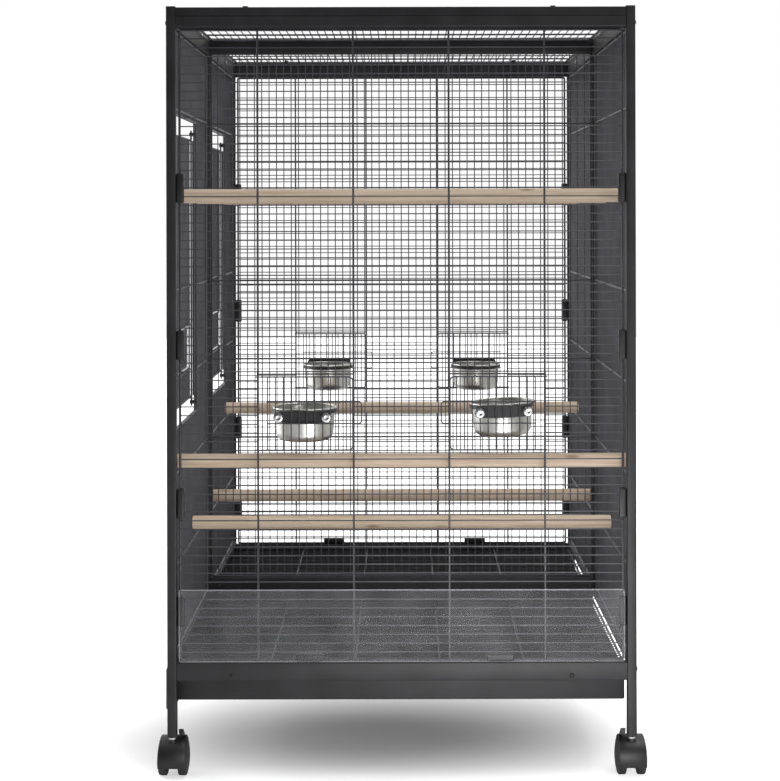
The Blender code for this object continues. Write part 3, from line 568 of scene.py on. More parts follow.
@dataclass(frozen=True)
class PowderCoat(Finish):
    """Satin charcoal powder coat baked on steel.

    Melted powder dries to a fine orange peel, which breaks up the sheen, and wide, faint patches of
    a lighter grey keep the dark colour from looking flat.
    """

    dark: str = "#1A1A1C"
    light: str = "#252528"
    patch: float = 60 * MM
    patch_span: tuple[float, float] = (0.36, 0.66)
    roughness: tuple[float, float] = (0.40, 0.56)
    specular: float = 0.42
    peel: float = 2.4 * MM
    bumpy: float = 0.07
    bump_high: float = 0.12 * MM

    def pattern(self, tree: bpy.types.NodeTree, place: bpy.types.NodeSocket) -> dict:
        """Lay patches of the two greys, and a peel that roughness and bump follow.

        Args:
            tree: of the material.
            place: a point's place in the piece's own axes.

        Returns:
            The shader's sockets.
        """
        fine = {"Vector": place, "Scale": 1 / self.peel, "Detail": 2.0, "Roughness": 0.55}
        peel = add_node(tree, "TexNoise", fine)["Fac"]
        patch = add_node(tree, "TexNoise", {"Vector": place, "Scale": 1 / self.patch, "Detail": 3.0})["Fac"]
        blend = add_node(tree, "MapRange", scaled(patch, self.patch_span, (0.0, 1.0)))["Result"]
        colours = (self.dark, self.light, blend)
        sockets = self.dress(
            tree, colours, (peel, NOISE_SPAN, self.roughness), (peel, self.bumpy, self.bump_high)
        )
        return {**sockets, "Specular IOR Level": self.specular}


@dataclass(frozen=True)
class SpunStainless(Finish):
    """Stainless steel spun over a former and polished.

    The tool leaves fine rings round the axis, which draw the highlight out into streaks. The rings
    are drawn at 1.6 mm, coarser than the real 0.3 mm, so that they show.
    """

    bright: str = "#DCDBD7"
    dull: str = "#C6C5C0"
    smear: float = 14 * MM
    roughness: tuple[float, float] = (0.26, 0.4)
    ring: float = 1.6 * MM
    bumpy: float = 0.12
    bump_high: float = 0.03 * MM

    def pattern(self, tree: bpy.types.NodeTree, place: bpy.types.NodeSocket) -> dict:
        """Lay rings that follow the turned profile, and smears that dull it.

        Args:
            tree: of the material.
            place: a point's place in the piece's own axes.

        Returns:
            The shader's sockets.
        """
        marks = add_node(tree, "UVMap", uv_map="turning")["UV"]
        way = add_node(tree, "SeparateXYZ", {0: marks})["Y"]
        fine = {"W": way, "Scale": 1 / self.ring, "Detail": 3.0, "Roughness": 0.6}
        rings = add_node(tree, "TexNoise", fine, noise_dimensions="1D")["Fac"]
        smear = add_node(tree, "TexNoise", {"Vector": place, "Scale": 1 / self.smear, "Detail": 4.0})["Fac"]
        both = add_node(tree, "Math", {0: rings, 1: smear}, operation="ADD")[0]
        both_span = tuple(2 * value for value in NOISE_SPAN)
        colours = (self.bright, self.dull, smear)
        sockets = self.dress(
            tree, colours, (both, both_span, self.roughness), (rings, self.bumpy, self.bump_high)
        )
        return {**sockets, "Metallic": 1.0}


@dataclass(frozen=True)
class BrightZinc(Finish):
    """Bright zinc plate on small steel parts.

    The plate is pale and slightly blue, with faint clouds and a soft, uneven shine.
    """

    bright: str = "#E6E7E8"
    dull: str = "#C9CBCE"
    cloud: float = 5 * MM
    roughness: tuple[float, float] = (0.2, 0.38)

    def pattern(self, tree: bpy.types.NodeTree, place: bpy.types.NodeSocket) -> dict:
        """Lay clouds that colour and roughness follow.

        Args:
            tree: of the material.
            place: a point's place in the piece's own axes.

        Returns:
            The shader's sockets.
        """
        clouds = {"Vector": place, "Scale": 1 / self.cloud, "Detail": 4.0, "Roughness": 0.6}
        cloud = add_node(tree, "TexNoise", clouds)["Fac"]
        sockets = self.dress(tree, (self.bright, self.dull, cloud), (cloud, NOISE_SPAN, self.roughness))
        return {**sockets, "Metallic": 1.0}


@dataclass(frozen=True)
class MouldedPlastic(Finish):
    """Black nylon from a spark-eroded mould.

    The mould's fine grain scatters the light, so the part looks dull black with grey edges. The
    grain is drawn at 0.9 mm, coarser than the real 0.1 mm, so that it shows.
    """

    colour: str = "#111113"
    worn: str = "#1B1B1D"
    flow: float = 18 * MM
    roughness: float = 0.46
    grain: float = 0.9 * MM
    bumpy: float = 0.3
    bump_high: float = 0.06 * MM

    def pattern(self, tree: bpy.types.NodeTree, place: bpy.types.NodeSocket) -> dict:
        """Lay the mould's grain, and slow shifts between the two blacks.

        Args:
            tree: of the material.
            place: a point's place in the piece's own axes.

        Returns:
            The shader's sockets.
        """
        grain, flow = (
            add_node(tree, "TexNoise", {"Vector": place, "Scale": 1 / size, "Detail": 2.0})["Fac"]
            for size in (self.grain, self.flow)
        )
        ends = (self.roughness - 0.06, self.roughness + 0.08)
        colours = (self.colour, self.worn, flow)
        sockets = self.dress(tree, colours, (grain, NOISE_SPAN, ends), (grain, self.bumpy, self.bump_high))
        return {**sockets, "IOR": 1.53}


@dataclass(frozen=True)
class BarePine(Finish):
    """Pine dowel, turned and left bare.

    The rings of the tree are cut along the rod into long streaks of spring and autumn wood, with a
    darker knot here and there, and the dry surface has no shine.
    """

    pale: str = "#D1BEAA"
    streak: str = "#B69E87"
    knot: str = "#80624A"
    streak_size: tuple[float, float] = (110 * MM, 3.2 * MM)
    fibre_size: tuple[float, float] = (18 * MM, 0.8 * MM)
    knot_size: tuple[float, float] = (105 * MM, 105 / 4 * MM)
    tone_span: tuple[float, float] = (0.42, 0.7)
    knot_span: tuple[float, float] = (0.05, 0.17)
    knot_depth: float = 0.75
    roughness: tuple[float, float] = (0.58, 0.78)
    bumpy: float = 0.4
    bump_high: float = 0.15 * MM

    def pattern(self, tree: bpy.types.NodeTree, place: bpy.types.NodeSocket) -> dict:
        """Lay streaks, fibres and knots, each stretched along the dowel by its length and width.

        Args:
            tree: of the material.
            place: a point's place in the piece's own axes.

        Returns:
            The shader's sockets.
        """
        streaks, fibres, spots = (
            add_node(tree, "Mapping", {"Vector": place, "Scale": (1 / long, 1 / wide, 1 / wide)})["Vector"]
            for long, wide in (self.streak_size, self.fibre_size, self.knot_size)
        )
        curls = {"Vector": streaks, "Scale": 1.0, "Detail": 5.0, "Roughness": 0.62, "Distortion": 0.6}
        grain = add_node(tree, "TexNoise", curls)["Fac"]
        fine = add_node(tree, "TexNoise", {"Vector": fibres, "Scale": 1.0, "Detail": 2.0})["Fac"]
        tone = add_node(tree, "MapRange", scaled(grain, self.tone_span, (0.0, 1.0)))["Result"]
        sockets = self.dress(
            tree,
            (self.pale, self.streak, tone),
            (fine, (0.0, 1.0), self.roughness),
            (fine, self.bumpy, self.bump_high),
        )
        cells = add_node(tree, "TexVoronoi", {"Vector": spots, "Scale": 1.0, "Randomness": 1.0})["Distance"]
        knots = add_node(tree, "MapRange", scaled(cells, self.knot_span, (self.knot_depth, 0.0)))["Result"]
        blend = {0: knots, 6: sockets["Base Color"], 7: linear(self.knot)}
        sockets["Base Color"] = add_node(tree, "Mix", blend, data_type="RGBA")[2]
        return {**sockets, "IOR": 1.45, "Specular IOR Level": 0.35}


@dataclass(frozen=True)
class ClearSheet(Finish):
    """Clear acrylic sheet with cut edges.

    Its faces show as a thin grey veil with a faint haze of wiping marks. A band along the rim is painted
    more opaque in the pale tint: the milky cut edges and a painted highlight of the light they gather.
    """

    tint: str = "#C4C4CC"
    veil: float = 0.055
    haze: float = 45 * MM
    # Alpha of the rim band in the pale tint: the edges' milky look and a painted highlight
    cut: float = 0.3
    half_wide: float = PANEL_HALF_X
    low: float = END_BAR_TOP + GAP
    tall: float = GUARD_TALL
    rim: float = 1.2 * MM
    roughness: float = 0.12

    def pattern(self, tree: bpy.types.NodeTree, place: bpy.types.NodeSocket) -> dict:
        """Lay the alpha, which is the veil, or the cut's higher alpha, a painted highlight, where a point
        lies within the rim.

        Args:
            tree: of the material.
            place: a point's place in the piece's own axes.

        Returns:
            The shader's sockets.
        """
        split = add_node(tree, "SeparateXYZ", {0: place})
        edges = []
        half_tall = self.tall / 2
        for axis, middle, half in (("X", 0.0, self.half_wide), ("Z", self.low + half_tall, half_tall)):
            off = add_node(tree, "Math", {0: split[axis], 1: middle}, operation="SUBTRACT")[0]
            far = add_node(tree, "Math", {0: off}, operation="ABSOLUTE")[0]
            edges.append(add_node(tree, "Math", {0: far, 1: half - self.rim}, operation="GREATER_THAN")[0])
        edge = add_node(tree, "Math", {0: edges[0], 1: edges[1]}, operation="MAXIMUM")[0]
        haze = add_node(tree, "TexNoise", {"Vector": place, "Scale": 1 / self.haze, "Detail": 4.0})["Fac"]
        ends = (self.veil * 0.7, self.veil * 1.3)
        veil = add_node(tree, "MapRange", scaled(haze, NOISE_SPAN, ends))["Result"]
        alpha = add_node(tree, "MapRange", scaled(edge, (0.0, 1.0), (veil, self.cut)))["Result"]
        return {"Base Color": linear(self.tint), "Roughness": self.roughness, "IOR": 1.49, "Alpha": alpha}


FINISHES = (
    PowderCoat(Coat.TUBE),
    # The same powder coat on the wires, painted lighter than on the tubes: a painted highlight for the light
    # that the thin round wires catch
    PowderCoat(Coat.WIRE, "#323238", "#404047", roughness=(0.3, 0.42), peel=1.6 * MM),
    SpunStainless(Coat.STAINLESS),
    BrightZinc(Coat.ZINC),
    MouldedPlastic(Coat.NYLON),
    MouldedPlastic(Coat.TREAD, "#1C1C1E", "#29292B", roughness=0.58, grain=1.4 * MM),
    BarePine(Coat.PINE),
    ClearSheet(Coat.CLEAR),
)


# ---------------------------------------------------------------- the bench


def mesh_of(name: str, surface: Surface) -> bpy.types.Mesh:
    """Make a mesh with its doubles merged and its normals turned outwards.

    Args:
        name: of the mesh.
        surface: its shape.

    Returns:
        The mesh.
    """
    mesh = bpy.data.meshes.new(name)
    faces = [face for block in surface.faces for face in block.tolist()]
    mesh.from_pydata(surface.points.tolist(), [], faces)
    if surface.marks is not None:
        corner = np.empty(len(mesh.loops), dtype=np.int32)
        mesh.loops.foreach_get("vertex_index", corner)
        mesh.uv_layers.new(name="turning").data.foreach_set("uv", surface.marks[corner].ravel())
    work = bmesh.new()
    work.from_mesh(mesh)
    bmesh.ops.remove_doubles(work, verts=work.verts, dist=MERGE)
    bmesh.ops.recalc_face_normals(work, faces=work.faces)
    work.to_mesh(mesh)
    work.free()
    return mesh


def add_object(name: str, data: bpy.types.ID) -> bpy.types.Object:
    """Add an object to the scene, at the origin and unturned.

    Args:
        name: of the object.
        data: its mesh, light or camera.

    Returns:
        The object.
    """
    made = bpy.data.objects.new(name, data)
    bpy.context.scene.collection.objects.link(made)
    return made


class Bench:
    """Turns surfaces into dressed pieces that ride on the frame's bodies."""

    crisp = math.radians(38)

    def __init__(self) -> None:
        """Build every finish once."""
        self.materials = {finish.coat: finish.material() for finish in FINISHES}
        self.count = 0

    def make(
        self,
        name: str,
        surface: Surface,
        coat: Coat,
        body: str = "root",
        replaces: str = "",
        sharp: float = crisp,
    ) -> bpy.types.Object:
        """Make one piece, smooth but for its crisp edges.

        Args:
            name: of the piece.
            surface: its shape, in place.
            coat: its finish.
            body: that it rides on.
            replaces: the frame's node that it stands for, if any.
            sharp: the angle past which an edge stays crisp.

        Returns:
            The piece.
        """
        mesh = mesh_of(name, surface)
        mesh.shade_smooth()
        mesh.set_sharp_from_angle(angle=sharp)
        mesh.materials.append(self.materials[coat])
        piece = add_object(name, mesh)
        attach(piece, body)
        if replaces:
            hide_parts(replaces)
        self.count += 1
        LOG.info("%3d %-34s %6d faces on %s", self.count, name, len(mesh.polygons), body)
        return piece

    def carve(self, piece: bpy.types.Object, surface: Surface) -> None:
        """Cut a closed surface out of a piece.

        Args:
            piece: what is cut.
            surface: what is taken away.
        """
        cutter = add_object("cutter", mesh_of("cutter", surface))
        cut = piece.modifiers.new("cut", "BOOLEAN")
        cut.operation, cut.object, cut.solver = "DIFFERENCE", cutter, "EXACT"
        graph = bpy.context.evaluated_depsgraph_get()
        carved = bpy.data.meshes.new_from_object(piece.evaluated_get(graph))
        piece.modifiers.clear()
        piece.data = carved
        carved.set_sharp_from_angle(angle=self.crisp)
        bpy.data.objects.remove(cutter)


# ---------------------------------------------------------------- frame


@dataclass
class Assembly:
    """What every assembly starts from: the bench that makes its pieces."""

    bench: Bench


@dataclass
class TubeFrame(Assembly):
    """Square tube frame: four posts, end bars, side rails and the hoop between the compartments."""

    round_edge: float = 1.6 * MM
    cap_tall: float = 1.7 * MM
    cap_past: float = 0.1 * MM
    groove_up: float = 19.3 * MM
    groove_deep: float = 1.1 * MM
    groove_half: float = 0.8 * MM
    lip_tall: float = 3 * MM
    lip_proud: float = 0.7 * MM
    ledge_thick: float = 2 * MM
    tray_ledge: tuple[float, float] = (163.7 * MM, 9 * MM)
    grate_ledge: tuple[float, float] = (170.9 * MM, 5.5 * MM)
    weld: float = 0.2 * MM
    screw_radius: float = 4 * MM
    small_radius: float = 2.6 * MM
    post_screws: tuple[float, float] = (1210 * MM, 173 * MM)
    upright_screws: tuple[float, float] = (1187 * MM, 207 * MM)
    bar_screw: tuple[float, float] = (272 * MM, 164 * MM)
    rail_screws: tuple[tuple[float, float], ...] = ((-121 * MM, 1229 * MM), (293 * MM, 1218 * MM))
    hoop_pairs: tuple[float, float] = (-345 * MM, 354 * MM)
    hoop_heights: tuple[float, float] = (202 * MM, 187 * MM)
    hoop_middle: float = 5 * MM

    def build(self) -> None:
        """Make every piece of the frame."""
        self.posts()
        self.end_bars()
        self.rails()
        self.hoop()
        self.screws()

    def top_outline(self, outer: float, bottom: float = BAR_BOTTOM) -> np.ndarray:
        """Section of a top bar: a groove along its outer face and a folded lip below.

        Args:
            outer: where its outer face lies, its sign being the side it faces.
            bottom: height of its lower face.

        Returns:
            (across, up) points.
        """
        z, groove, half = bottom, BAR_BOTTOM + self.groove_up, self.groove_half
        lip, proud, deep, edge = self.lip_tall, self.lip_proud, self.groove_deep, self.round_edge
        eased = BAR_TOP - edge * 0.3
        rows = [(TUBE, z), (0.6 * MM, z), (-proud, z + 0.7 * MM)]
        rows += [(-proud, z + lip - 0.6 * MM), (0, z + lip + 0.2 * MM)]
        rows += [(0, groove - half), (deep, groove - half / 3), (deep, groove + half / 3), (0, groove + half)]
        rows += [(0, BAR_TOP - edge), (edge * 0.3, eased), (edge, BAR_TOP)]
        rows += [(TUBE - edge, BAR_TOP), (TUBE - edge * 0.3, eased), (TUBE, BAR_TOP - edge)]
        depth, up = np.array(rows).T
        return np.stack((math.copysign(1, outer) * (abs(outer) - depth), up), axis=-1)

    def posts(self) -> None:
        """The corner posts and the domed caps that close them."""
        half, wide = TUBE / 2, TUBE / 2 + self.cap_past
        for end, side in CORNERS:
            where = f"{end}_{side}"
            x, y = side.value * POST_X, end.value * POST_Y
            low, high = (x - half, y - half, POST_FOOT), (x + half, y + half, BAR_TOP)
            tube = bar(low, high, Z, self.round_edge, soft=0.4 * MM)
            self.bench.make(f"tube_post_{where}", tube, Coat.TUBE, replaces=f"post_{where}")
            low, high = BAR_TOP + 0.05 * MM, BAR_TOP + self.cap_tall
            cap = soft_boxes([((x - wide, y - wide, low), (x + wide, y + wide, high))], 0.7 * MM, steps=3)
            self.bench.make(f"post_cap_{where}", cap, Coat.NYLON)

    def end_bars(self) -> None:
        """Top and bottom bars of both ends; the bottom ones carry the ledges of tray and grate."""
        for end in End:
            outer = end.value * LENGTH / 2
            inner = outer - end.value * TUBE
            top = drawn(self.top_outline(outer), X, -INSIDE_X, INSIDE_X)
            self.bench.make(f"grooved_bar_{end}", top, Coat.TUBE, replaces=f"top_bar_{end}")
            low = bar((-INSIDE_X, outer, END_BAR_LOW), (INSIDE_X, inner, END_BAR_TOP), X, self.round_edge)
            low = join([low] + self.ledges(inner, -end.value))
            self.bench.make(f"tube_bar_{end}", low, Coat.TUBE, replaces=f"bottom_bar_{end}")

    def ledges(self, root: float, way: int) -> list[Surface]:
        """Folded strips that tray and grate slide on, rooted in a bar's inner face.

        Args:
            root: the face's Y.
            way: sign of the direction that they reach in.

        Returns:
            The two strips.
        """
        half, start = INSIDE_X - TUBE, root - way * TUBE / 4
        return [
            bar((-half, start, top - self.ledge_thick), (half, root + way * reach, top), X, 0.5 * MM, 2)
            for top, reach in (self.tray_ledge, self.grate_ledge)
        ]

    def rails(self) -> None:
        """The long rails above and below both sides."""
        reach = LENGTH / 2 - TUBE - GAP
        for side in Side:
            outer = side.value * WIDTH / 2
            inner = outer - side.value * TUBE
            top = drawn(self.top_outline(outer), Y, -reach, reach)
            self.bench.make(f"grooved_rail_{side}", top, Coat.TUBE, replaces=f"top_rail_{side}")
            low = bar((outer, -reach, RAIL_LOW), (inner, reach, RAIL_TOP), Y, self.round_edge)
            self.bench.make(f"tube_rail_{side}", low, Coat.TUBE, replaces=f"bottom_rail_{side}")

    def hoop(self) -> None:
        """The middle frame: two uprights, a grooved bar above and a deep bar below with ledges."""
        half, weld, edge = TUBE / 2, self.weld, self.round_edge
        parts = []
        for side in Side:
            x = side.value * POST_X
            low, high = (x - half, -half, RAIL_TOP - weld), (x + half, half, HOOP_BOTTOM + weld)
            parts.append(bar(low, high, Z, edge))
        parts.append(drawn(self.top_outline(-half, HOOP_BOTTOM), X, -INSIDE_X, INSIDE_X))
        low, high = (-INSIDE_X - weld, -half, END_BAR_LOW), (INSIDE_X + weld, half, MIDDLE_BAR_TOP)
        parts.append(bar(low, high, X, edge))
        parts += self.ledges(-half, -1) + self.ledges(half, 1)
        self.bench.make("tube_middle_frame", join(parts), Coat.TUBE, replaces="middle_frame")

    def dome(self, axis: int, way: int, radius: float) -> Surface:
        """A domed screw head with a socket, standing on the plane through the origin.

        Args:
            axis: that it stands along.
            way: sign of the side that it faces.
            radius: of the head, which is half as tall.

        Returns:
            The head at the origin.
        """
        socket, shoulder = [(0, 0.35), (0.36, 0.35), (0.4, 0.97)], [(0.62, 0.86), (0.86, 0.5), (1, 0)]
        profile = np.array(socket + shoulder + [(1, -0.2), (0, -0.2)]) * (radius, way * radius / 2)
        return lathe(profile, (0, 0, 0), 16, axis)

    def screws(self) -> None:
        """Domed heads on the posts' long sides, inside the top rails, on the hoop and on the end bars."""
        for side in Side:
            rows = [(end.value * POST_Y, height) for end in End for height in self.post_screws]
            rows += [(0, height) for height in self.upright_screws]
            places = [(side.value * WIDTH / 2, *row) for row in rows]
            heads = copies(self.dome(X, side.value, self.screw_radius), places)
            self.bench.make(f"side_screws_{side}", heads, Coat.NYLON)
            places = [(side.value * (WIDTH / 2 - TUBE), *row) for row in self.rail_screws]
            heads = copies(self.dome(X, -side.value, self.small_radius), places)
            self.bench.make(f"rail_screws_{side}", heads, Coat.ZINC)
        rows = [(x, z) for x in self.hoop_pairs for z in self.hoop_heights]
        rows.append((self.hoop_middle, self.hoop_heights[1]))
        heads = copies(self.dome(Y, -1, self.small_radius), [(x, -TUBE / 2, z) for x, z in rows])
        self.bench.make("hoop_screws", heads, Coat.WIRE)
        for end in End:
            (across, height), outer = self.bar_screw, end.value * LENGTH / 2
            places = [(side.value * across, outer, height) for side in Side]
            heads = copies(self.dome(Y, end.value, self.screw_radius), places)
            self.bench.make(f"bar_screws_{end}", heads, Coat.TUBE)


# ---------------------------------------------------------------- wire panels


@dataclass
class WirePanel:
    """A welded panel of round wires: fine wires outside, an edge loop and support wires behind.

    A place is origin + across x a + up x u + inward x depth.
    """

    origin: tuple[float, float, float]
    across: tuple[float, float, float]
    up: tuple[float, float, float]
    inward: tuple[float, float, float]
    low: tuple[float, float]
    high: tuple[float, float]
    fine: float = 1.0 * MM
    support: float = 1.75 * MM
    edge: float = 2.0 * MM
    fine_depth: float = 1.25 * MM
    back_depth: float = 4.0 * MM
    corner: float = 4 * MM
    hole_corner: float = 5 * MM
    fine_inset: float = 0.6 * MM
    bite: float = 1.2 * MM
    holes: list[tuple] = field(default_factory=list)
    parts: list[Surface] = field(default_factory=list)

    def place(self, a: np.ndarray, u: np.ndarray, depth: float) -> np.ndarray:
        """Turn places in the panel's plane into places in the cage.

        Args:
            a: how far across, one or many.
            u: how far up, one or many.
            depth: how far inwards.

        Returns:
            (..., 3) places.
        """
        a, u, depth = (np.asarray(reach, float)[..., None] for reach in (a, u, depth))
        origin, across, up, inward = (np.asarray(v) for v in (self.origin, self.across, self.up, self.inward))
        return origin + a * across + u * up + depth * inward

    def loop(self, low: tuple, high: tuple, radius: float, corner: float, depth: float) -> None:
        """Add a closed wire rectangle.

        Args:
            low: lowest outer corner.
            high: highest outer corner.
            radius: of the wire.
            corner: radius that its corners are bent at.
            depth: how far inwards it lies.
        """
        a = np.array([low[0] + radius, high[0] - radius, high[0] - radius, low[0] + radius])
        u = np.array([low[1] + radius, low[1] + radius, high[1] - radius, high[1] - radius])
        path = rounded_path(self.place(a, u, depth), corner, closed=True, steps=4)
        self.parts.append(bent_rod(path, self.inward, radius, sides=10, closed=True))

    def frame(self) -> None:
        """Add the edge loop."""
        self.loop(self.low, self.high, self.edge, self.corner, self.back_depth)

    def hole(self, low: tuple, high: tuple, radius: float, wholly: bool = True) -> None:
        """Add an opening of this clear size, with its rods, that stops the wires laid after it.

        Args:
            low: lowest clear corner.
            high: highest clear corner.
            radius: of its rods.
            wholly: whether it has a loop of its own, or only rods above and below.
        """
        if wholly:
            out = 2 * radius
            outer = (low[0] - out, low[1] - out), (high[0] + out, high[1] + out)
            self.loop(*outer, radius, self.hole_corner, self.back_depth)
        else:
            u = np.array([low[1] - radius, high[1] + radius])
            self.straight(low[0] - radius, u, high[0] + radius, u, radius, self.back_depth)
        self.holes.append((low, high))

    def straight(
        self, a0: np.ndarray, u0: np.ndarray, a1: np.ndarray, u1: np.ndarray, radius: float, depth: float
    ) -> None:
        """Add straight wires from (a0, u0) to (a1, u1).

        Args:
            a0: how far across they start.
            u0: how far up they start.
            a1: how far across they end.
            u1: how far up they end.
            radius: of the wires.
            depth: how far inwards they lie.
        """
        self.parts.append(rods(self.place(a0, u0, depth), self.place(a1, u1, depth), radius))

    def wires(self, places: np.ndarray, sideways: bool, fine: bool = True) -> None:
        """Lay wires side by side, cut where an opening stops them.

        A wire is a row (place, start, end); a row that crosses an opening becomes two rows.

        Args:
            places: of the wires, along the other axis.
            sideways: whether they run across instead of up.
            fine: whether they are fine wires or support wires.
        """
        run = 0 if sideways else 1
        inset = self.fine_inset if fine else self.edge
        low, high = self.low[run] + inset, self.high[run] - inset
        places = np.asarray(places, float)
        rows = np.stack((places, np.full_like(places, low), np.full_like(places, high)), axis=-1)
        for hole_low, hole_high in self.holes:
            across = (rows[:, 0] > hole_low[1 - run]) & (rows[:, 0] < hole_high[1 - run])
            met = across & (rows[:, 1] < hole_low[run]) & (rows[:, 2] > hole_high[run])
            before, after = rows[met].copy(), rows[met].copy()
            before[:, 2], after[:, 1] = hole_low[run] - self.bite, hole_high[run] + self.bite
            rows = np.concatenate((rows[~met], before, after))
        radius = self.fine if fine else self.support
        depth = self.fine_depth if fine else self.back_depth
        if sideways:
            self.straight(rows[:, 1], rows[:, 0], rows[:, 2], rows[:, 0], radius, depth)
        else:
            self.straight(rows[:, 0], rows[:, 1], rows[:, 0], rows[:, 2], radius, depth)

    def surface(self) -> Surface:
        """All wires as one surface."""
        return join(self.parts)


def end_panel(end: End, low: tuple, high: tuple, proud: float = 0.0, **sizes: float) -> WirePanel:
    """A panel that lies in an end's plane, or proud of it."""
    origin = (0, end.value * (END_PLANE + proud), 0)
    return WirePanel(origin, (1, 0, 0), (0, 0, 1), (0, -end.value, 0), low, high, **sizes)


def side_panel(side: Side, low: tuple, high: tuple, proud: float = 0.0, **sizes: float) -> WirePanel:
    """A panel that lies in a long side's plane, or proud of it."""
    origin = (side.value * (SIDE_PLANE + proud), 0, 0)
    return WirePanel(origin, (0, 1, 0), (0, 0, 1), (-side.value, 0, 0), low, high, **sizes)


def bay_span(end: End) -> tuple[float, float]:
    """Where a compartment's inside runs along Y."""
    low, high = sorted(end.value * reach for reach in BAY)
    return low, high


@dataclass
class Enclosure(Assembly):
    """The wire panels of both compartments and the clips that hold them in the frame."""

    feeder_heights: tuple[float, float] = (525 * MM, 645 * MM)
    feeder_inset: float = 2 * MM
    feeder_rod: float = 1.2 * MM
    first_wire: float = 186.4 * MM
    end_pitch: float = 14.06 * MM
    end_wires: int = 73
    access_heights: tuple[float, float] = (557 * MM, 1063 * MM)
    access_rod: float = 2.2 * MM
    strip_across: tuple[float, float] = (-372.0 * MM, -367.6 * MM)
    strip_past: tuple[float, float] = (4.4 * MM, 6.2 * MM)
    strip_insets: tuple[float, float] = (24 * MM, 29 * MM)
    roof_support: float = 97 * MM
    divider_plane: float = 3.15 * MM
    divider_past: float = 5 * MM
    clip_size: tuple[float, float, float] = (12.5 * MM, 10 * MM, 48 * MM)
    clip_edge: float = 2.8 * MM
    clip_proud: float = 2.2 * MM
    post_clips: tuple[float, ...] = (945 * MM, 693 * MM, 439 * MM, 266 * MM)
    foot_clips: tuple[float, float] = (-148 * MM, 158 * MM)
    foot_clip_half: float = 22.5 * MM
    roof_clips: tuple[float, float] = (-249 * MM, 244 * MM)
    roof_clip_half: float = 4 * MM
    roof_clip_run: tuple[float, float] = (2 * MM, 22 * MM)
    roof_clip_tall: float = 1.9 * MM

    def build(self) -> None:
        """Make every panel and its clips."""
        for end in End:
            self.end(end)
            self.sides(end)
            self.roof(end)
            self.clips(end)
        self.divider()

    def end(self, end: End) -> None:
        """An end panel, with its wires across and an opening behind each feeder door.

        Args:
            end: that it closes.
        """
        panel = end_panel(end, (-PANEL_HALF_X, END_BAR_TOP + GAP), (PANEL_HALF_X, BAR_BOTTOM - GAP))
        panel.frame()
        bottom, top = self.feeder_heights
        for low, high in ((-JAMB_OUTER, -JAMB_INNER), (JAMB_INNER, JAMB_OUTER)):
            near, far = low + self.feeder_inset, high - self.feeder_inset
            panel.hole((near, bottom), (far, top), self.feeder_rod, wholly=False)
        panel.wires(self.first_wire + self.end_pitch * np.arange(self.end_wires), sideways=True)
        panel.holes.clear()
        uprights = np.array([-JAMB_OUTER, -JAMB_INNER, JAMB_INNER, JAMB_OUTER])
        panel.wires(uprights, sideways=False, fine=False)
        self.bench.make(f"wire_end_{end}", panel.surface(), Coat.WIRE, replaces=f"end_panel_{end}")

    def sides(self, end: End) -> None:
        """Both side panels of a compartment; the left one has the large door's opening.

        Args:
            end: of the cage where the compartment lies.
        """
        low, high = bay_span(end)
        near, far = (end.start + reach for reach in ACCESS_RUN)
        bottom, top = self.access_heights
        for side in Side:
            panel = side_panel(side, (low + GAP, RAIL_TOP + GAP), (high - GAP, BAR_BOTTOM - GAP))
            panel.frame()
            if side is Side.LEFT:
                panel.hole((near, bottom), (far, top), self.access_rod)
            panel.wires(spread(low + GAP, high - GAP, WIRE_PITCH), sideways=False)
            panel.wires(SUPPORT_HEIGHTS, sideways=True, fine=False)
            if side is Side.LEFT:
                heights = bottom + self.strip_insets[0], top - self.strip_insets[1]
                strip = zip(self.strip_across, (far + past for past in self.strip_past), heights)
                panel.parts.append(soft_boxes([tuple(strip)], 0.4 * MM))
            where = f"{side}_{end}"
            self.bench.make(f"wire_side_{where}", panel.surface(), Coat.WIRE, replaces=f"side_panel_{where}")

    def roof(self, end: End) -> None:
        """A roof panel, laid between the top bars.

        Args:
            end: of the cage that it covers.
        """
        low, high = bay_span(end)
        corners = (-PANEL_HALF_X, low + GAP), (PANEL_HALF_X, high - GAP)
        panel = WirePanel((0, 0, BAR_TOP), (1, 0, 0), (0, 1, 0), (0, 0, -1), *corners)
        panel.frame()
        panel.wires(spread(-PANEL_HALF_X, PANEL_HALF_X, WIRE_PITCH), sideways=False)
        supports = np.array([low + self.roof_support, high - self.roof_support])
        panel.wires(supports, sideways=True, fine=False)
        self.bench.make(f"wire_roof_{end}", panel.surface(), Coat.WIRE, replaces=f"roof_panel_{end}")

    def divider(self) -> None:
        """The panel in the hoop between the compartments."""
        corners = (-INSIDE_X, MIDDLE_BAR_TOP + GAP), (INSIDE_X, HOOP_BOTTOM + self.divider_past)
        panel = WirePanel((0, self.divider_plane, 0), (1, 0, 0), (0, 0, 1), (0, -1, 0), *corners)
        panel.frame()
        panel.wires(spread(-INSIDE_X, INSIDE_X, WIRE_PITCH), sideways=False)
        panel.wires(SUPPORT_HEIGHTS, sideways=True, fine=False)
        self.bench.make("wire_divider", panel.surface(), Coat.WIRE, replaces="divider_panel")

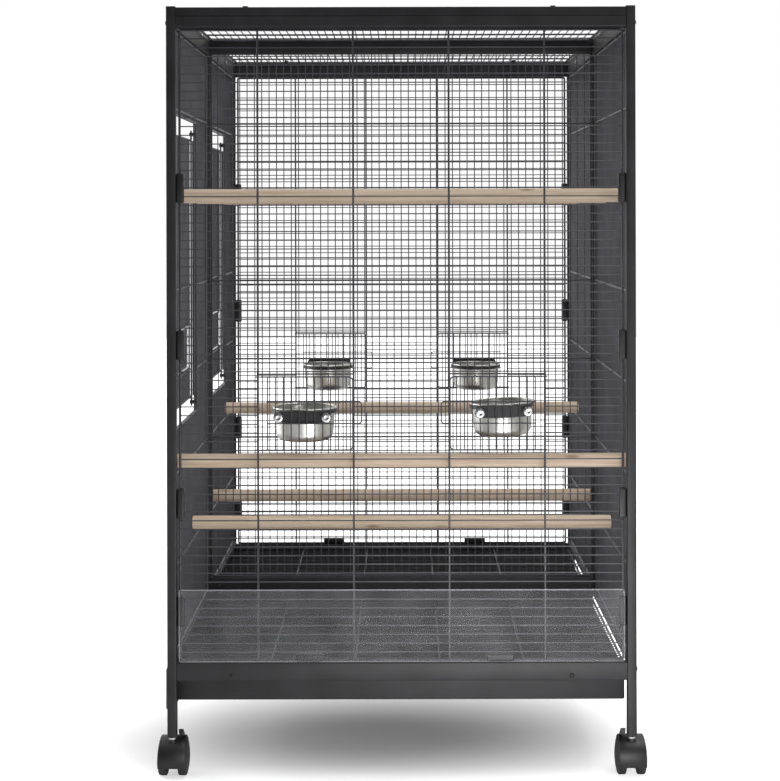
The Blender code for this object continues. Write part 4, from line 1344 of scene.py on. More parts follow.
    def clips(self, end: End) -> None:
        """Black clips that hold an end panel to the posts and the bottom bar, and the roof to the top bar.

        Args:
            end: whose panels they hold.
        """
        wide, deep, tall = self.clip_size
        face = end.value * (END_PLANE + self.clip_proud)
        back = face - end.value * deep
        boxes = []
        for side in Side:
            outer, inner = side.value * INSIDE_X, side.value * (INSIDE_X + GAP - wide)
            for z in self.post_clips:
                boxes.append(((outer, face, z - tall / 2), (inner, back, z + tall / 2)))
        half = self.foot_clip_half
        for x in self.foot_clips:
            boxes.append(((x - half, face, END_BAR_TOP + 0.1 * MM), (x + half, back, END_BAR_TOP + wide)))
        self.bench.make(f"panel_clips_{end}", soft_boxes(boxes, self.clip_edge), Coat.NYLON)
        face, back = (end.value * (LENGTH / 2 - inset) for inset in self.roof_clip_run)
        half, top = self.roof_clip_half, BAR_TOP + self.roof_clip_tall
        boxes = [((x - half, face, BAR_TOP - 0.3 * MM), (x + half, back, top)) for x in self.roof_clips]
        self.bench.make(f"roof_clips_{end}", soft_boxes(boxes, 0.7 * MM), Coat.NYLON)


# ---------------------------------------------------------------- feeders


@dataclass
class AtCorner(Assembly):
    """Something of which there is one at each end and side."""

    end: End
    side: Side

    @property
    def where(self) -> str:
        """Its place in the names of pieces."""
        return f"{self.end}_{self.side}"


@dataclass
class FeederStation(AtCorner):
    """A small door in an end panel with the ring holder and bowl that it carries."""

    outwards: float = 5 * MM
    higher: float = 0.0
    tilt: float = 0.0
    strap_lift: float = 0.0
    inset: float = 56.5 * MM
    rim_height: float = 589 * MM
    low: float = 523.9 * MM
    high: float = 643.4 * MM
    frame_depth: float = 2.9 * MM
    rungs: tuple[float, float] = (567.4 * MM, 602 * MM)
    rung_depth: float = 3.2 * MM
    rung_wire: float = 1.1 * MM
    hinge_clear: float = 4.4 * MM
    first_bar: float = 16 * MM
    bar_pitch: float = 12.6 * MM
    bars: int = 11
    wire: float = 1.15 * MM
    loop_reach: float = 13 * MM
    pin_wire: float = 1.45 * MM
    pin_past: float = 7 * MM
    ring: tuple[float, float] = (50.2 * MM, 53.0 * MM)
    ring_heights: tuple[float, float] = (-9.5 * MM, -3.5 * MM)
    strap_half: float = 43 * MM
    strap_heights: tuple[float, float] = (-20.5 * MM, -3.5 * MM)
    strap_depths: tuple[float, float] = (0.4 * MM, 5.2 * MM)
    nut_apart: float = 76.8 * MM
    nut_drop: float = 11.5 * MM
    nut_radius: float = 7.4 * MM
    washer_past: float = 0.9 * MM
    bolt_radius: float = 2.5 * MM
    bolt_inside: float = 9 * MM
    rim: float = 52.8 * MM
    roll: float = 1.7 * MM
    wide: float = 49.8 * MM
    base: float = 40 * MM
    deep: float = 55 * MM
    foot: float = 13 * MM
    wall: float = 0.8 * MM

    @property
    def body(self) -> str:
        """The moving body that door, holder and bowl ride on."""
        return f"feeder_{self.where}"

    @property
    def centre(self) -> np.ndarray:
        """Middle of the bowl's rim."""
        x = self.side.value * ((JAMB_OUTER + JAMB_INNER) / 2 + self.outwards)
        return np.array([x, self.end.value * (END_PLANE - self.inset), self.rim_height + self.higher])

    def build(self) -> None:
        """Make door, hinge pin, holder, nuts and bowl."""
        self.door()
        self.pin()
        self.holder()
        self.nuts()
        self.bowl()

    def door(self) -> None:
        """The door: a frame wire round three sides, uprights, two rungs closed by a U, and eyelets."""
        way, radius = self.side.value, self.wire
        hinge, free = way * JAMB_OUTER, way * JAMB_INNER
        panel = end_panel(self.end, (min(hinge, free), self.low), (max(hinge, free), self.high), DOOR_PLANE)
        low, high = self.low + radius, self.high - radius
        clear, edge = hinge - way * self.hinge_clear, free + way * radius
        corners = panel.place([clear, edge, edge, clear], [high, high, low, low], self.frame_depth)
        parts = [bent_rod(rounded_path(corners, 7 * MM), panel.inward, radius, sides=10)]
        uprights = hinge - way * (self.first_bar + self.bar_pitch * np.arange(self.bars))
        ends = (panel.place(uprights, height, panel.fine_depth) for height in (high, low))
        parts.append(rods(*ends, panel.fine))
        root, tip = uprights[0] + way * 1.5 * MM, free - way * self.loop_reach
        under, over = self.rungs
        corners = panel.place([root, tip, tip, root], [over, over, under, under], self.rung_depth)
        parts.append(bent_rod(rounded_path(corners, 5 * MM), panel.inward, self.rung_wire))
        axis = (hinge, self.end.value * (END_PLANE + AXIS_PLANE))
        parts += [self.eyelet(axis, height, clear, radius * 0.8) for height in (low, high)]
        where = self.where
        self.bench.make(f"wire_door_{where}", join(parts), Coat.WIRE, self.body, f"feeder_door_{where}")

    def eyelet(self, axis: tuple, height: float, root: float, radius: float) -> Surface:
        """A loop bent round the hinge pin: axis + reach (cos a, sin a), then straight to the root.

        Args:
            axis: X and Y of the hinge.
            height: of the loop.
            root: X where it meets the frame wire.
            radius: of the wire.

        Returns:
            The loop and its shank.
        """
        reach = 1.5 * MM + radius + 0.15 * MM
        angle = np.linspace(0.15, 1.85, 18) * math.pi
        out = -self.side.value * reach
        x, y = axis[0] + out * np.cos(angle), axis[1] + reach * np.sin(angle)
        path = np.stack((x, y, np.full_like(x, height)), axis=-1)
        shank = rods((root, axis[1], height), (axis[0] + out * 0.9, axis[1], height), radius)
        return join([bent_rod(path, (0, 0, 1), radius), shank])

    def pin(self) -> None:
        """The hinge pin: an upright wire bent back to the jamb above and below the door."""
        x, y = self.side.value * JAMB_OUTER, self.end.value * (END_PLANE + AXIS_PLANE)
        back = self.end.value * (END_PLANE - 3.2 * MM)
        low, high = self.low - self.pin_past, self.high + self.pin_past
        path = rounded_path([(x, back, low), (x, y, low), (x, y, high), (x, back, high)], 2.6 * MM)
        self.bench.make(f"feeder_pin_{self.where}", bent_rod(path, (1, 0, 0), self.pin_wire), Coat.WIRE)

    def turned(self, surface: Surface) -> Surface:
        """Tilt a surface by the station's angle about the rim's middle, across the view.

        A point at (x, z) from the middle goes to (x cos t - z sin t, x sin t + z cos t).

        Args:
            surface: what is tilted, in place.

        Returns:
            The same surface.
        """
        if not self.tilt:
            return surface
        c, s = math.cos(self.tilt), math.sin(self.tilt)
        x, z = surface.points[:, 0] - self.centre[0], surface.points[:, 2] - self.centre[2]
        surface.points[:, 0] = self.centre[0] + x * c - z * s
        surface.points[:, 2] = self.centre[2] + x * s + z * c
        return surface

    def holder(self) -> None:
        """The black ring and the flat strap in front of it."""
        corners = zip(self.ring, self.ring_heights)
        ring = lathe(rounded_outline(*corners, 0.8 * MM, steps=1), self.centre, 48, closed=True)
        both = self.turned(join([ring, self.strap()]))
        self.bench.make(f"ring_holder_{self.where}", both, Coat.NYLON, self.body, f"bowl_holder_{self.where}")

    def strap(self) -> Surface:
        """The flat strap: its top edge bulges up by a cosine hump in its middle.

        With t from -1 to 1 along the strap, the top rises by 2.2 cos(1.1 t pi / 2) squared mm, the
        bottom dips by 1.2 cos(t pi / 2) squared mm, and both close by 4.5 mm over the last 14%.

        Returns:
            The strap.
        """
        t = np.linspace(-1, 1, 25)
        low, top = (self.centre[2] + height + self.strap_lift for height in self.strap_heights)
        fall = 4.5 * MM * np.clip(np.abs(t) - 0.86, 0, 1) / 0.14
        upper = top + 2.2 * MM * np.cos(np.clip(t * 1.1, -1, 1) * math.pi / 2) ** 2 - fall
        lower = low - 1.2 * MM * np.cos(t * math.pi / 2) ** 2 + fall
        front, back = (self.end.value * (END_PLANE - depth) for depth in self.strap_depths)
        soft = 0.7 * MM
        pull = self.end.value * soft
        y = np.array([front, front, front - pull, back + pull, back, back, back + pull, front - pull])
        edges = (lower + soft, upper - soft, upper, upper, upper - soft, lower + soft, lower, lower)
        return swept((self.centre[0] + self.strap_half * t)[:, None], y, np.stack(edges, axis=-1))

    def nuts(self) -> None:
        """Round nuts on their bolts outside the door's wires, each over a black washer."""
        out = self.end.value
        face = out * (END_PLANE + DOOR_PLANE + 0.2 * MM)
        height = self.centre[2] - self.nut_drop + self.strap_lift
        spots = [(self.centre[0] + way * self.nut_apart / 2, 0, height) for way in (-1, 1)]
        disc = [(0, 0), (1, 0), (1, 0.9), (0, 0.9)]
        knob = [(0, 5.2), (0.3, 5.2), (0.36, 5.5), (0.84, 5.3), (0.97, 4.6), (1, 3.8), (1, 1), (0, 1)]
        washer, nut = (
            lathe(np.array(profile) * (radius, out * MM) + (0, face), (0, 0, 0), 28, Y)
            for profile, radius in ((disc, self.nut_radius + self.washer_past), (knob, self.nut_radius))
        )
        self.bench.make(f"washers_{self.where}", self.turned(copies(washer, spots)), Coat.NYLON, self.body)
        tip = (0, out * (END_PLANE - self.bolt_inside), 0)
        stud = rods((0, face + out * 2 * MM, 0), tip, self.bolt_radius, sides=12)
        both = self.turned(join([copies(nut, spots), copies(stud, spots)]))
        self.bench.make(f"round_nuts_{self.where}", both, Coat.ZINC, self.body)

    def bowl(self) -> None:
        """The spun bowl: a rolled rim, a nearly straight wall, a round foot and a raised base.

        The wall narrows towards the foot by 0.35 (wide - base) x (how far below the rim / deep).
        """
        wide, deep, foot, wall, roll, raised = self.wide, self.deep, self.foot, self.wall, self.roll, 1.4 * MM
        angle = np.linspace(-0.35, 1.35, 12) * math.pi
        curl = np.stack((self.rim - roll + roll * np.cos(angle), -roll + roll * np.sin(angle)), axis=-1)
        turn = np.linspace(0, math.pi / 2, 7)
        curves = []
        for thick in (0.0, wall):
            height = -deep + thick + foot - foot * np.sin(turn)
            narrow = (wide - self.base) * 0.35 * -height / deep
            curves.append(np.stack((wide - thick - foot + foot * np.cos(turn) - narrow, height), axis=-1))
        outside, inside = curves
        profile = [
            *((0, raised - deep), (22 * MM, raised - deep), (24 * MM, -deep)),
            *outside[::-1],
            *((wide, -4.6 * MM), (wide + 0.2 * MM, -3.6 * MM)),
            *curl,
            (wide - wall, -3.4 * MM),
            *inside,
            *((24.5 * MM, wall - deep), (22.5 * MM, wall - deep + raised), (0, wall - deep + raised)),
        ]
        bowl = self.turned(lathe(profile, self.centre, 64, marked=True))
        name = f"bowl_{self.where}"
        self.bench.make(f"spun_{name}", bowl, Coat.STAINLESS, self.body, name, math.radians(50))


# ---------------------------------------------------------------- large doors


@dataclass
class AccessDoor(Assembly):
    """A large door in the left side, its pins, hinge blocks and sliding wire latch."""

    end: End
    low: float = 579 * MM
    high: float = 1036 * MM
    wire: float = 1.75 * MM
    rung: float = 1.1 * MM
    pin_past: float = 16 * MM
    pin_root: float = 12 * MM
    guide_drop: float = 4.2 * MM
    guide_dip: float = 2.9 * MM
    guide_reach: float = 10 * MM
    guide_half: float = 4 * MM
    block_half: float = 3.1 * MM
    block_past: float = 9 * MM
    block_reach: float = 5.5 * MM
    latch_heights: tuple[float, float] = (644 * MM, 713 * MM)
    latch_reach: float = 132 * MM
    latch_wire: float = 1.5 * MM
    latch_plane: float = -361.9 * MM

    @property
    def run(self) -> tuple[float, float]:
        """Where its opening begins and ends along Y."""
        near, far = ACCESS_RUN
        return self.end.start + near, self.end.start + far

    def build(self) -> None:
        """Make door, blocks and latch."""
        self.door()
        self.blocks()
        self.latch()

    def door(self) -> None:
        """The door: a closed frame wire whose far side is the hinge pin, uprights and rungs."""
        (near, far), radius, drop = self.run, self.wire, self.guide_drop
        low, high = (near - radius, self.low), (far + radius, self.high)
        wires = {"edge": radius, "support": self.rung, "fine_depth": 0.9 * MM, "back_depth": 2.4 * MM}
        panel = side_panel(Side.LEFT, low, high, DOOR_PLANE, corner=6 * MM, **wires)
        panel.frame()
        panel.wires(spread(near, far, WIRE_PITCH), sideways=False)
        panel.wires([height - drop for height in self.latch_heights], sideways=True, fine=False)
        panel.back_depth = 3.0 * MM
        rungs = SUPPORT_HEIGHTS[(SUPPORT_HEIGHTS > self.low) & (SUPPORT_HEIGHTS < self.high)]
        panel.wires(rungs, sideways=True, fine=False)
        x, inner = -(SIDE_PLANE + AXIS_PLANE), -(SIDE_PLANE - self.guide_reach)
        middle = near + self.latch_reach / 2
        before, after = middle - self.guide_half, middle + self.guide_half
        for height in self.latch_heights:
            root, eye = height - drop, height - self.guide_dip
            corners = [(x, before, root), (inner, before, eye), (inner, after, eye), (x, after, root)]
            panel.parts.append(bent_rod(rounded_path(corners, 1.6 * MM), (0, 0, 1), 1.0 * MM))
        for height, way in ((self.low, -1), (self.high, 1)):
            start, stop = (x, far, height - way * self.pin_root), (x, far, height + way * self.pin_past)
            panel.parts.append(rods(start, stop, radius, sides=12, soft=0.4))
        name = f"access_door_{self.end}"
        self.bench.make(f"wire_{name}", panel.surface(), Coat.WIRE, f"{name}_body", name)

    def blocks(self) -> None:
        """Two black blocks that hold the pins to the jamb."""
        x, y = -(SIDE_PLANE + AXIS_PLANE), self.run[1]
        half, back = self.block_half, -(SIDE_PLANE - self.block_reach)
        boxes = [
            ((x - half, y - half, height - 3 * MM), (back, y + 6 * MM, height + 3 * MM))
            for height in (self.low - self.block_past, self.high + self.block_past)
        ]
        self.bench.make(f"hinge_blocks_{self.end}", soft_boxes(boxes, 1 * MM), Coat.NYLON)

    def latch(self) -> None:
        """One bright wire: an arm to the jamb, a grip, and an arm back to the jamb."""
        x, near = self.latch_plane, self.run[0]
        tip, grip = near + 1.1 * MM, near + self.latch_reach
        low, high = self.latch_heights
        path = rounded_path([(x, tip, high), (x, grip, high), (x, grip, low), (x, tip, low)], 7 * MM, steps=8)
        wire = bent_rod(path, (1, 0, 0), self.latch_wire, sides=12)
        name = f"door_latch_{self.end}"
        self.bench.make(f"wire_latch_{self.end}", wire, Coat.ZINC, f"{name}_body", name)


# ---------------------------------------------------------------- floor


@dataclass
class FloorSet(Assembly):
    """Grates over pull-out trays, and the clear guard across the front."""

    play: float = 2 * MM
    grate_run: tuple[float, float] = (-374.8 * MM, 361 * MM)
    grate_support: float = 68.5 * MM
    floor_z: float = 118 * MM
    lip_low: float = 164 * MM
    lip_top: float = 165.5 * MM
    wall: float = 1.5 * MM
    inset: float = 9.3 * MM
    fascia_low: float = 104 * MM
    fascia_top: float = 170.6 * MM
    fascia_proud: float = 5 * MM
    fascia_deep: float = 14 * MM
    fascia_inset: float = 6 * MM
    wire_drop: float = 6 * MM
    corner: float = 4 * MM
    foot: float = 2.5 * MM
    guard_thick: float = 2.5 * MM

    def build(self) -> None:
        """Make grates, trays and guard."""
        for end in End:
            self.grate(end)
            self.tray(end)
        self.guard()

    def grate(self, end: End) -> None:
        """A wire grate: fine wires across the cage, and four support wires on top of them.

        Args:
            end: of the cage where it lies.
        """
        low, high = bay_span(end)
        low, high = low + self.play, high - self.play
        left, right = self.grate_run
        corners = (left, low), (right, high)
        origin = (0, 0, GRATE_TOP - self.wire_drop)
        panel = WirePanel(origin, (1, 0, 0), (0, 1, 0), (0, 0, 1), *corners)
        panel.frame()
        panel.wires(spread(low, high, WIRE_PITCH), sideways=True)
        middle = (left + right) / 2
        panel.wires(middle + self.grate_support * np.array([-3, -1, 1, 3]), sideways=False, fine=False)
        name = f"grate_{end}"
        self.bench.make(f"wire_{name}", panel.surface(), Coat.TUBE, f"{name}_body", name)

    def tray(self, end: End) -> None:
        """A folded tub with side lips and a deep front, its rings stacked from under the floor to over it.

        With a from 0 to 90 degrees, the fold at the floor's edge is foot x (1 - sin a) in from the
        wall and foot x (1 - cos a) above the floor.

        Args:
            end: of the cage where it lies.
        """
        low, high = bay_span(end)
        low, high = low + self.play, high - self.play
        left, right = -WIDTH / 2, WIDTH / 2 - TUBE - 1 * MM
        wall, foot = self.wall, self.foot
        turn = np.linspace(0, math.pi / 2, 5)
        fold = list(zip(foot * (1 - np.sin(turn)), self.floor_z + foot * (1 - np.cos(turn))))
        rows = [(foot + 1 * MM, self.floor_z), *fold, (0.0, self.lip_low), (wall, self.lip_low - 1 * MM)]
        rows += [(wall + inset, z + wall) for inset, z in fold[::-1]]
        inset, height = np.array(rows).T
        lows = np.array([left, low + self.inset]) + inset[:, None]
        highs = np.array([right, high - self.inset]) - inset[:, None]
        outline = rounded_outline(lows, highs, np.maximum(self.corner - inset, 1 * MM), steps=4)
        parts = [swept(height[:, None], outline[..., 0], outline[..., 1], Z)]
        for edge, way in ((low, 1), (high, -1)):
            root = edge + way * (self.inset + wall)
            corners = (left + 2 * MM, edge, self.lip_low), (right, root, self.lip_top)
            parts.append(bar(*corners, X, 0.6 * MM, 2, 0.3 * MM))
        face, back = left - self.fascia_proud, left - self.fascia_proud + self.fascia_deep
        low, high = low + self.fascia_inset, high - self.fascia_inset
        corners = (face, low, self.fascia_low), (back, high, self.fascia_top)
        parts.append(bar(*corners, Y, 2.2 * MM, 4, 0.8 * MM))
        name = f"tray_{end}"
        self.bench.make(f"folded_{name}", join(parts), Coat.TUBE, f"{name}_body", name)

    def guard(self) -> None:
        """The clear sheet in front of the front panel's foot."""
        face, low = -(END_PLANE + 1 * MM), END_BAR_TOP + GAP
        corners = (-PANEL_HALF_X, face, low), (PANEL_HALF_X, face - self.guard_thick, low + GUARD_TALL)
        sheet = bar(*corners, Y, 4 * MM, 4, 0.3 * MM)
        self.bench.make("clear_guard", sheet, Coat.CLEAR, replaces="seed_guard")


# ---------------------------------------------------------------- perches


@dataclass
class PerchSet(Assembly):
    """Seven turned dowels from side to side, slotted at both ends to sit on the wires."""

    radius: float = 11.5 * MM
    slot_wide: float = 3 * MM
    slot_deep: float = 9 * MM
    half: float = 363.4 * MM
    soft: float = 0.9 * MM
    waver: tuple[float, float] = (0.12 * MM, 0.08 * MM)
    places: dict[str, tuple[float, float]] = field(
        default_factory=lambda: {
            "upper_front": (-408 * MM, 933 * MM),
            "upper_middle": (-189 * MM, 933 * MM),
            "upper_back": (266 * MM, 933 * MM),
            "middle_front": (-453 * MM, 504 * MM),
            "middle_back": (282 * MM, 504 * MM),
            "lower_front": (-251 * MM, 367 * MM),
            "lower_back": (25 * MM, 367 * MM),
        }
    )

    def build(self) -> None:
        """Make every perch."""
        for name, (y, z) in self.places.items():
            self.perch(name, y, z)

    def perch(self, name: str, y: float, z: float) -> None:
        """A dowel whose radius wavers by a tenth of a millimetre or two along and round it.

        The radius is R + along x sin(7 u + 40 y) + around x sin(3 a + 5 u), where u runs from -pi
        to pi along the dowel and a round it.

        Args:
            name: of the perch.
            y: of its axis.
            z: of its axis.
        """
        half, soft, (along, around) = self.half, self.soft, self.waver
        reach = np.concatenate(([-half], np.linspace(-half + soft, half - soft, 41), [half]))
        u, a = np.meshgrid(reach / half * math.pi, np.arange(32) * 2 * math.pi / 32, indexing="ij")
        radius = self.radius + along * np.sin(7 * u + 40 * y) + around * np.sin(3 * a + 5 * u)
        radius[[0, -1]] -= soft
        rod = swept(reach[:, None], y + radius * np.cos(a), z + radius * np.sin(a))
        dowel = self.bench.make(f"dowel_{name}", rod, Coat.PINE, replaces=f"perch_{name}")
        wide, tall = self.slot_wide / 2, 2 * self.radius
        near, far = half - self.slot_deep, half + self.slot_deep
        slots = [((way * near, y - wide, z - tall), (way * far, y + wide, z + tall)) for way in (-1, 1)]
        self.bench.carve(dowel, soft_boxes(slots, 0.2 * MM, steps=1))


# ---------------------------------------------------------------- casters


@dataclass
class Caster(AtCorner):
    """A twin-wheel caster: a hood on a swivel stem, two domed wheels and, in front, a brake tab."""

    trail: float = 14 * MM
    wheel: float = 29 * MM
    hood_outer: float = 34 * MM
    hood_inner: float = 31.2 * MM
    hood_half: float = 20.7 * MM
    skirt: float = 19 * MM
    hem: float = 9.7 * MM
    rim: float = 26 * MM
    edge: float = 22.3 * MM
    dome: float = 25.6 * MM
    inner_face: float = 9 * MM
    axle_radius: float = 3.5 * MM
    web: tuple[float, float, float] = (4 * MM, 10.5 * MM, 7 * MM)
    flare: float = 1.6 * MM
    tab: tuple[float, float, float] = (4 * MM, 31 * MM, 3.5 * MM)
    tab_rise: float = 6 * MM
    tab_lift: float = math.radians(18)

    @property
    def stem(self) -> tuple[float, float]:
        """X and Y of the swivel axis."""
        return self.side.value * POST_X, self.end.value * POST_Y

    @property
    def axle(self) -> np.ndarray:
        """Middle of the axle."""
        x, y = self.stem
        return np.array([x, y - self.end.value * self.trail, AXLE_Z])

    def build(self) -> None:
        """Make hood, stem, wheels and brake."""
        self.hood()
        self.wheels()
        if self.end is End.FRONT:
            self.brake()

    def shell(self) -> Surface:
        """The hood: a cross-section swept round the axle from the skirt to the trailing edge.

        At angle a the section's centre is axle + (0, out cos a, sin a) x radius, and its half width
        grows from the top to the front as half + flare x cos a squared, and not to the back.

        Returns:
            The hood without its web and neck.
        """
        outer, inner = self.hood_outer, self.hood_inner
        start, stop = math.asin((self.skirt - AXLE_Z) / outer), math.pi - math.asin(self.hem / outer)
        angle = np.linspace(start, stop, 31)
        half = self.hood_half + self.flare * np.clip(np.cos(angle), 0, 1) ** 2
        soft = 1.4 * MM
        edge = [(0, inner), (0, outer - soft * 1.3), (soft * 0.45, outer - soft * 0.4), (soft * 1.3, outer)]
        way, drawn_in, radius = np.array([(-1, *row) for row in edge] + [(1, *row) for row in edge[::-1]]).T
        x, y, z = self.axle
        angle, half = angle[:, None], half[:, None]
        forth = self.end.value * radius * np.cos(angle)
        return swept(x + way * (half - drawn_in), y + forth, z + radius * np.sin(angle))

    def hood(self) -> None:
        """Hood, web between the wheels and neck as one moulding; the bright stem is its own."""
        (x, y), middle, (half, long, under) = self.stem, self.axle[1], self.web
        low = (x - half, middle - long, AXLE_Z - under)
        high = (x + half, middle + long, AXLE_Z + self.hood_inner + 1.4 * MM)
        top = POST_FOOT - GAP
        base, head = AXLE_Z + math.sqrt(self.hood_inner**2 - self.trail**2), top - 3.6 * MM
        neck = [(0, base), (6.4 * MM, base), (6.2 * MM, top - 4.4 * MM), (5.4 * MM, head), (0, head)]
        parts = [self.shell(), soft_boxes([(low, high)], 1 * MM), lathe(neck, (x, y, 0), 28)]
        name = f"caster_{self.where}"
        self.bench.make(f"hood_{self.where}", join(parts), Coat.NYLON, f"{name}_body", name)
        collar = [(0, -3.7), (5.8, -3.7), (6.3, -3.1), (6.3, -0.9), (5.2, -0.2), (4.2, 0)]
        spigot = [(4.0, 24.3), (3.2, 25.8), (0, 25.8)]
        stem = lathe(np.array(collar + spigot) * MM, (x, y, top), 28)
        self.bench.make(f"stem_{self.where}", stem, Coat.ZINC, f"{name}_body")

    def wheels(self) -> None:
        """Two wheels on one axle: a tread with round shoulders and a domed cover.

        The cover's reach at radius r is its edge + (dome - edge) x (1 - (r / rim) squared).
        """
        wheel, rim, edge, face = self.wheel, self.rim, self.edge, self.inner_face
        profile = [(0, face), (wheel - 2.6 * MM, face), (wheel - 0.8 * MM, face + 0.7 * MM)]
        profile += [(wheel, face + 2.6 * MM), (wheel, edge - 3 * MM), (wheel - 0.7 * MM, edge - 1.0 * MM)]
        profile += [(wheel - 2.2 * MM, edge - 0.1 * MM), (rim + 0.3 * MM, edge - 0.5 * MM)]
        sizes = np.linspace(rim, 0, 9)
        profile += zip(sizes, edge + (self.dome - edge) * (1 - (sizes / rim) ** 2))
        parts = [lathe(np.array(profile) * (1, way), self.axle, 48, X) for way in (-1, 1)]
        span = np.array([2 * face, 0, 0])
        parts.append(rods(self.axle - span, self.axle + span, self.axle_radius, sides=16))
        name, crisp = f"wheels_{self.where}", math.radians(30)
        self.bench.make(f"domed_{name}", join(parts), Coat.TREAD, f"{name}_body", f"caster_{name}", crisp)

    def brake(self) -> None:
        """The brake's foot tab, a wedge that is wider and taller at its free end.

        With w running from 0 at the pivot to 1 at the free end, x shrinks by 0.35 (1 - w), and by
        0.25 w on the lower face. The upper face rises by the tab's rise x w. Then all is turned
        about X by the tab's lift.
        """
        half, long, thick = self.tab
        across = self.stem[0] - self.side.value * (TUBE / math.sqrt(2) + 1 * MM + half)
        pivot = np.array([across, self.stem[1] + self.trail, AXLE_Z + self.hood_outer + thick / 2 + GAP])
        tab = soft_boxes([((-half, -long, -thick / 2), (half, 0, thick / 2))], 1.1 * MM, steps=3)
        x, y, z = tab.points.T
        way, upper = -y / long, z > 0
        x = x * (1 - 0.35 * (1 - way)) * np.where(upper, 1, 1 - 0.25 * way)
        z = z + np.where(upper, self.tab_rise * way, 0)
        c, s = math.cos(-self.tab_lift), math.sin(-self.tab_lift)
        tab.points = np.stack((x, y * c - z * s, y * s + z * c), axis=-1) + pivot
        name = f"brake_lever_{self.where}"
        self.bench.make(f"foot_tab_{self.where}", tab, Coat.NYLON, f"brake_{self.where}_body", name)


# ---------------------------------------------------------------- studio


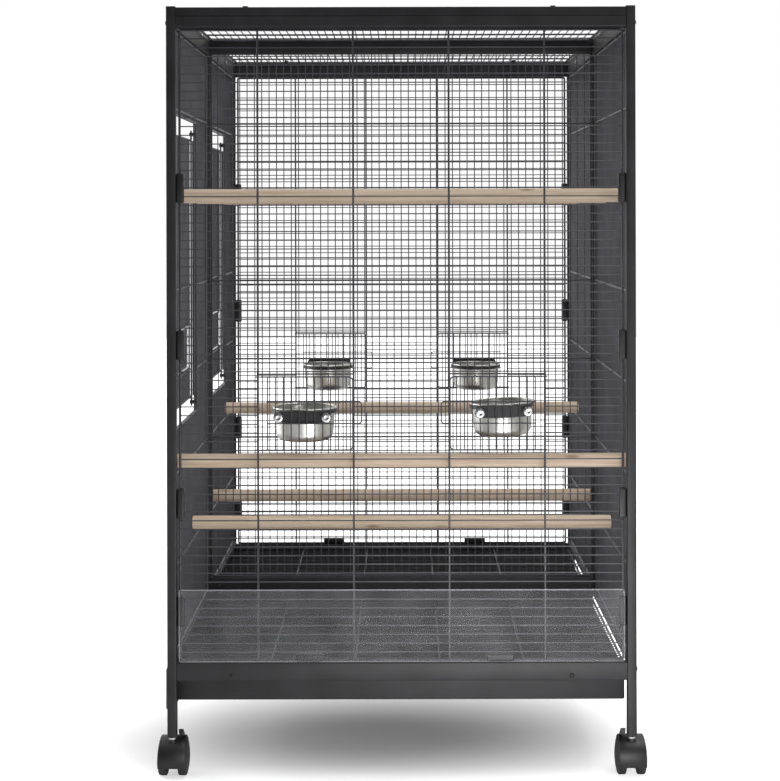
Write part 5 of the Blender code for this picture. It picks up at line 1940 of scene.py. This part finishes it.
@dataclass
class Studio:
    """Pale floor with a painted shadow under the cage, soft lamps, a white surround and the camera of the
    photograph.
    """

    eye: tuple[float, float, float] = (2.4 * MM, -3.148, 0.903)
    lens: float = 76.7
    sensor: float = 36.0
    shift: tuple[float, float] = (-0.016, -0.226)
    roll: float = 0.0022
    surround: float = 0.57
    front_gloss: float = 0.05
    gloss_span: tuple[float, float] = (-0.45, 0.15)
    floor_half: float = 9.0
    floor_colour: str = "#E8E8E8"
    # Painted shadow: the floor's glow to the camera is floor_glow at the middle of a pool under the cage and
    # rises to white outside it
    floor_glow: float = 0.04
    pool_middle: tuple[float, float] = (-0.06, -0.28)
    pool: tuple[float, float] = (0.30, 0.15)
    pool_span: tuple[float, float] = (0.35, 2.9)

    def build(self) -> None:
        """Make camera, world, lamps and floor."""
        self.camera()
        self.world()
        self.lamps()
        self.floor()
        bpy.context.scene.view_settings.view_transform = "Standard"

    def camera(self) -> None:
        """The photograph's camera: opposite the front end, shifted down and left, and a touch off level."""
        data = bpy.data.cameras.new("camera")
        data.lens, data.sensor_width = self.lens, self.sensor
        data.shift_x, data.shift_y = self.shift
        data.clip_start, data.clip_end = 0.05, 60.0
        camera = add_object("camera", data)
        camera.location = self.eye
        camera.rotation_euler = (math.pi / 2, self.roll, 0)
        bpy.context.scene.camera = camera

    def seen(self, tree: bpy.types.NodeTree) -> bpy.types.NodeSocket:
        """An output that is 1 for rays from the camera, also through clear sheet, and 0 for others.

        Args:
            tree: of the material or world.

        Returns:
            The output.
        """
        path = add_node(tree, "LightPath")
        rays = {0: path["Is Camera Ray"], 1: path["Is Transmission Ray"]}
        return add_node(tree, "Math", rays, operation="MAXIMUM")[0]

    def world(self) -> None:
        """White to the camera, also through the guard, softer as a lamp, and dim in front for gloss."""
        world = bpy.data.worlds.new("surround")
        world.use_nodes = True
        tree = world.node_tree
        tree.nodes.clear()
        glossy = add_node(tree, "LightPath")["Is Glossy Ray"]
        way = add_node(tree, "TexCoord")["Generated"]
        forth = add_node(tree, "SeparateXYZ", {0: way})["Y"]
        fade = add_node(tree, "MapRange", scaled(forth, self.gloss_span, (self.front_gloss, 1.0)))["Result"]
        gloss = add_node(tree, "Math", {0: glossy, 1: fade}, operation="MULTIPLY")[0]
        lamp = add_node(tree, "MapRange", scaled(glossy, (0.0, 1.0), (self.surround, 0.0)))["Result"]
        soft = add_node(tree, "Math", {0: lamp, 1: gloss}, operation="ADD")[0]
        strength = add_node(tree, "Math", {0: soft, 1: self.seen(tree)}, operation="MAXIMUM")[0]
        back = add_node(tree, "Background", {"Color": (1, 1, 1, 1), "Strength": strength})[0]
        add_node(tree, "OutputWorld", {"Surface": back})
        bpy.context.scene.world = world

    def lamps(self) -> None:
        """Four soft lamps: overhead, behind on the left, and two weak ones in front, right and low."""
        for name, place, aim, size, power in (
            ("overhead", (0.8, -0.4, 3.3), (0, 0, 0.6), 2.2, 54),
            ("left_behind", (-2.7, 1.0, 0.9), (0.3, 0.1, 0.7), 1.8, 52),
            ("right_front", (1.1, -3.0, 0.75), (0.3, -0.45, 0.7), 0.6, 8),
            ("low_front", (0.2, -1.2, 0.08), (0.18, -0.485, 0.08), 0.5, 5.5),
        ):
            data = bpy.data.lights.new(name, "AREA")
            data.shape, data.size, data.energy = "SQUARE", size, power
            lamp = add_object(name, data)
            lamp.location = place
            way = np.asarray(place, float) - np.asarray(aim, float)
            flat = math.hypot(way[0], way[1])
            lamp.rotation_euler = (math.atan2(flat, way[2]), 0, math.atan2(way[0], -way[1]))

    def floor(self) -> None:
        """A wide pale floor that takes the lamps' shadows, with a painted shadow: to the camera it glows
        white far out and less towards a point under the cage.
        """
        half = self.floor_half
        mesh = bpy.data.meshes.new("floor")
        corners = [(-half, -half, 0), (half, -half, 0), (half, half, 0), (-half, half, 0)]
        mesh.from_pydata(corners, [], [(0, 1, 2, 3)])
        material = bpy.data.materials.new("matt_pale_floor")
        material.use_nodes = True
        tree = material.node_tree
        place = add_node(tree, "TexCoord")["Object"]
        # Painted shadow: the glow falls off towards this point, in an ellipse of these half sizes
        (wide, deep), (x, y) = self.pool, self.pool_middle
        moved, scale = (-x / wide, -y / deep, 0.0), (1 / wide, 1 / deep, 1.0)
        pool = add_node(tree, "Mapping", {"Vector": place, "Location": moved, "Scale": scale})["Vector"]
        far = add_node(tree, "VectorMath", {0: pool}, operation="LENGTH")["Value"]
        ends = scaled(far, self.pool_span, (self.floor_glow, 1.0))
        glow = add_node(tree, "MapRange", ends, interpolation_type="SMOOTHSTEP")["Result"]
        strength = add_node(tree, "Math", {0: glow, 1: self.seen(tree)}, operation="MULTIPLY")[0]
        colours = {"Base Color": linear(self.floor_colour), "Roughness": 0.9, "Specular IOR Level": 0.0}
        light = {"Emission Color": (1, 1, 1, 1), "Emission Strength": strength}
        feed(tree, tree.nodes["Principled BSDF"], {**colours, **light})
        mesh.materials.append(material)
        add_object("floor", mesh)


def main() -> None:
    """Load the frame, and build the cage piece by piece."""
    logging.basicConfig(level=logging.INFO, format="%(message)s")
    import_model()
    bench = Bench()
    assemblies = [kind(bench) for kind in (TubeFrame, Enclosure, FloorSet, PerchSet)]
    # How each bowl hangs: further out, higher, turned, and its strap raised
    hangs = {
        (End.FRONT, Side.LEFT): (5 * MM, 0.0, 0.0, 0.0),
        (End.FRONT, Side.RIGHT): (10 * MM, 8 * MM, math.radians(2.4), 0.0),
        (End.BACK, Side.LEFT): (5 * MM, -6 * MM, 0.0, 8 * MM),
        (End.BACK, Side.RIGHT): (5 * MM, -6 * MM, 0.0, 8 * MM),
    }
    for end in End:
        assemblies.append(AccessDoor(bench, end))
        for side in Side:
            assemblies.append(FeederStation(bench, end, side, *hangs[end, side]))
            assemblies.append(Caster(bench, end, side))
    for assembly in assemblies:
        LOG.info("%s", type(assembly).__name__)
        assembly.build()
    Studio().build()


if __name__ == "__main__":
    main()
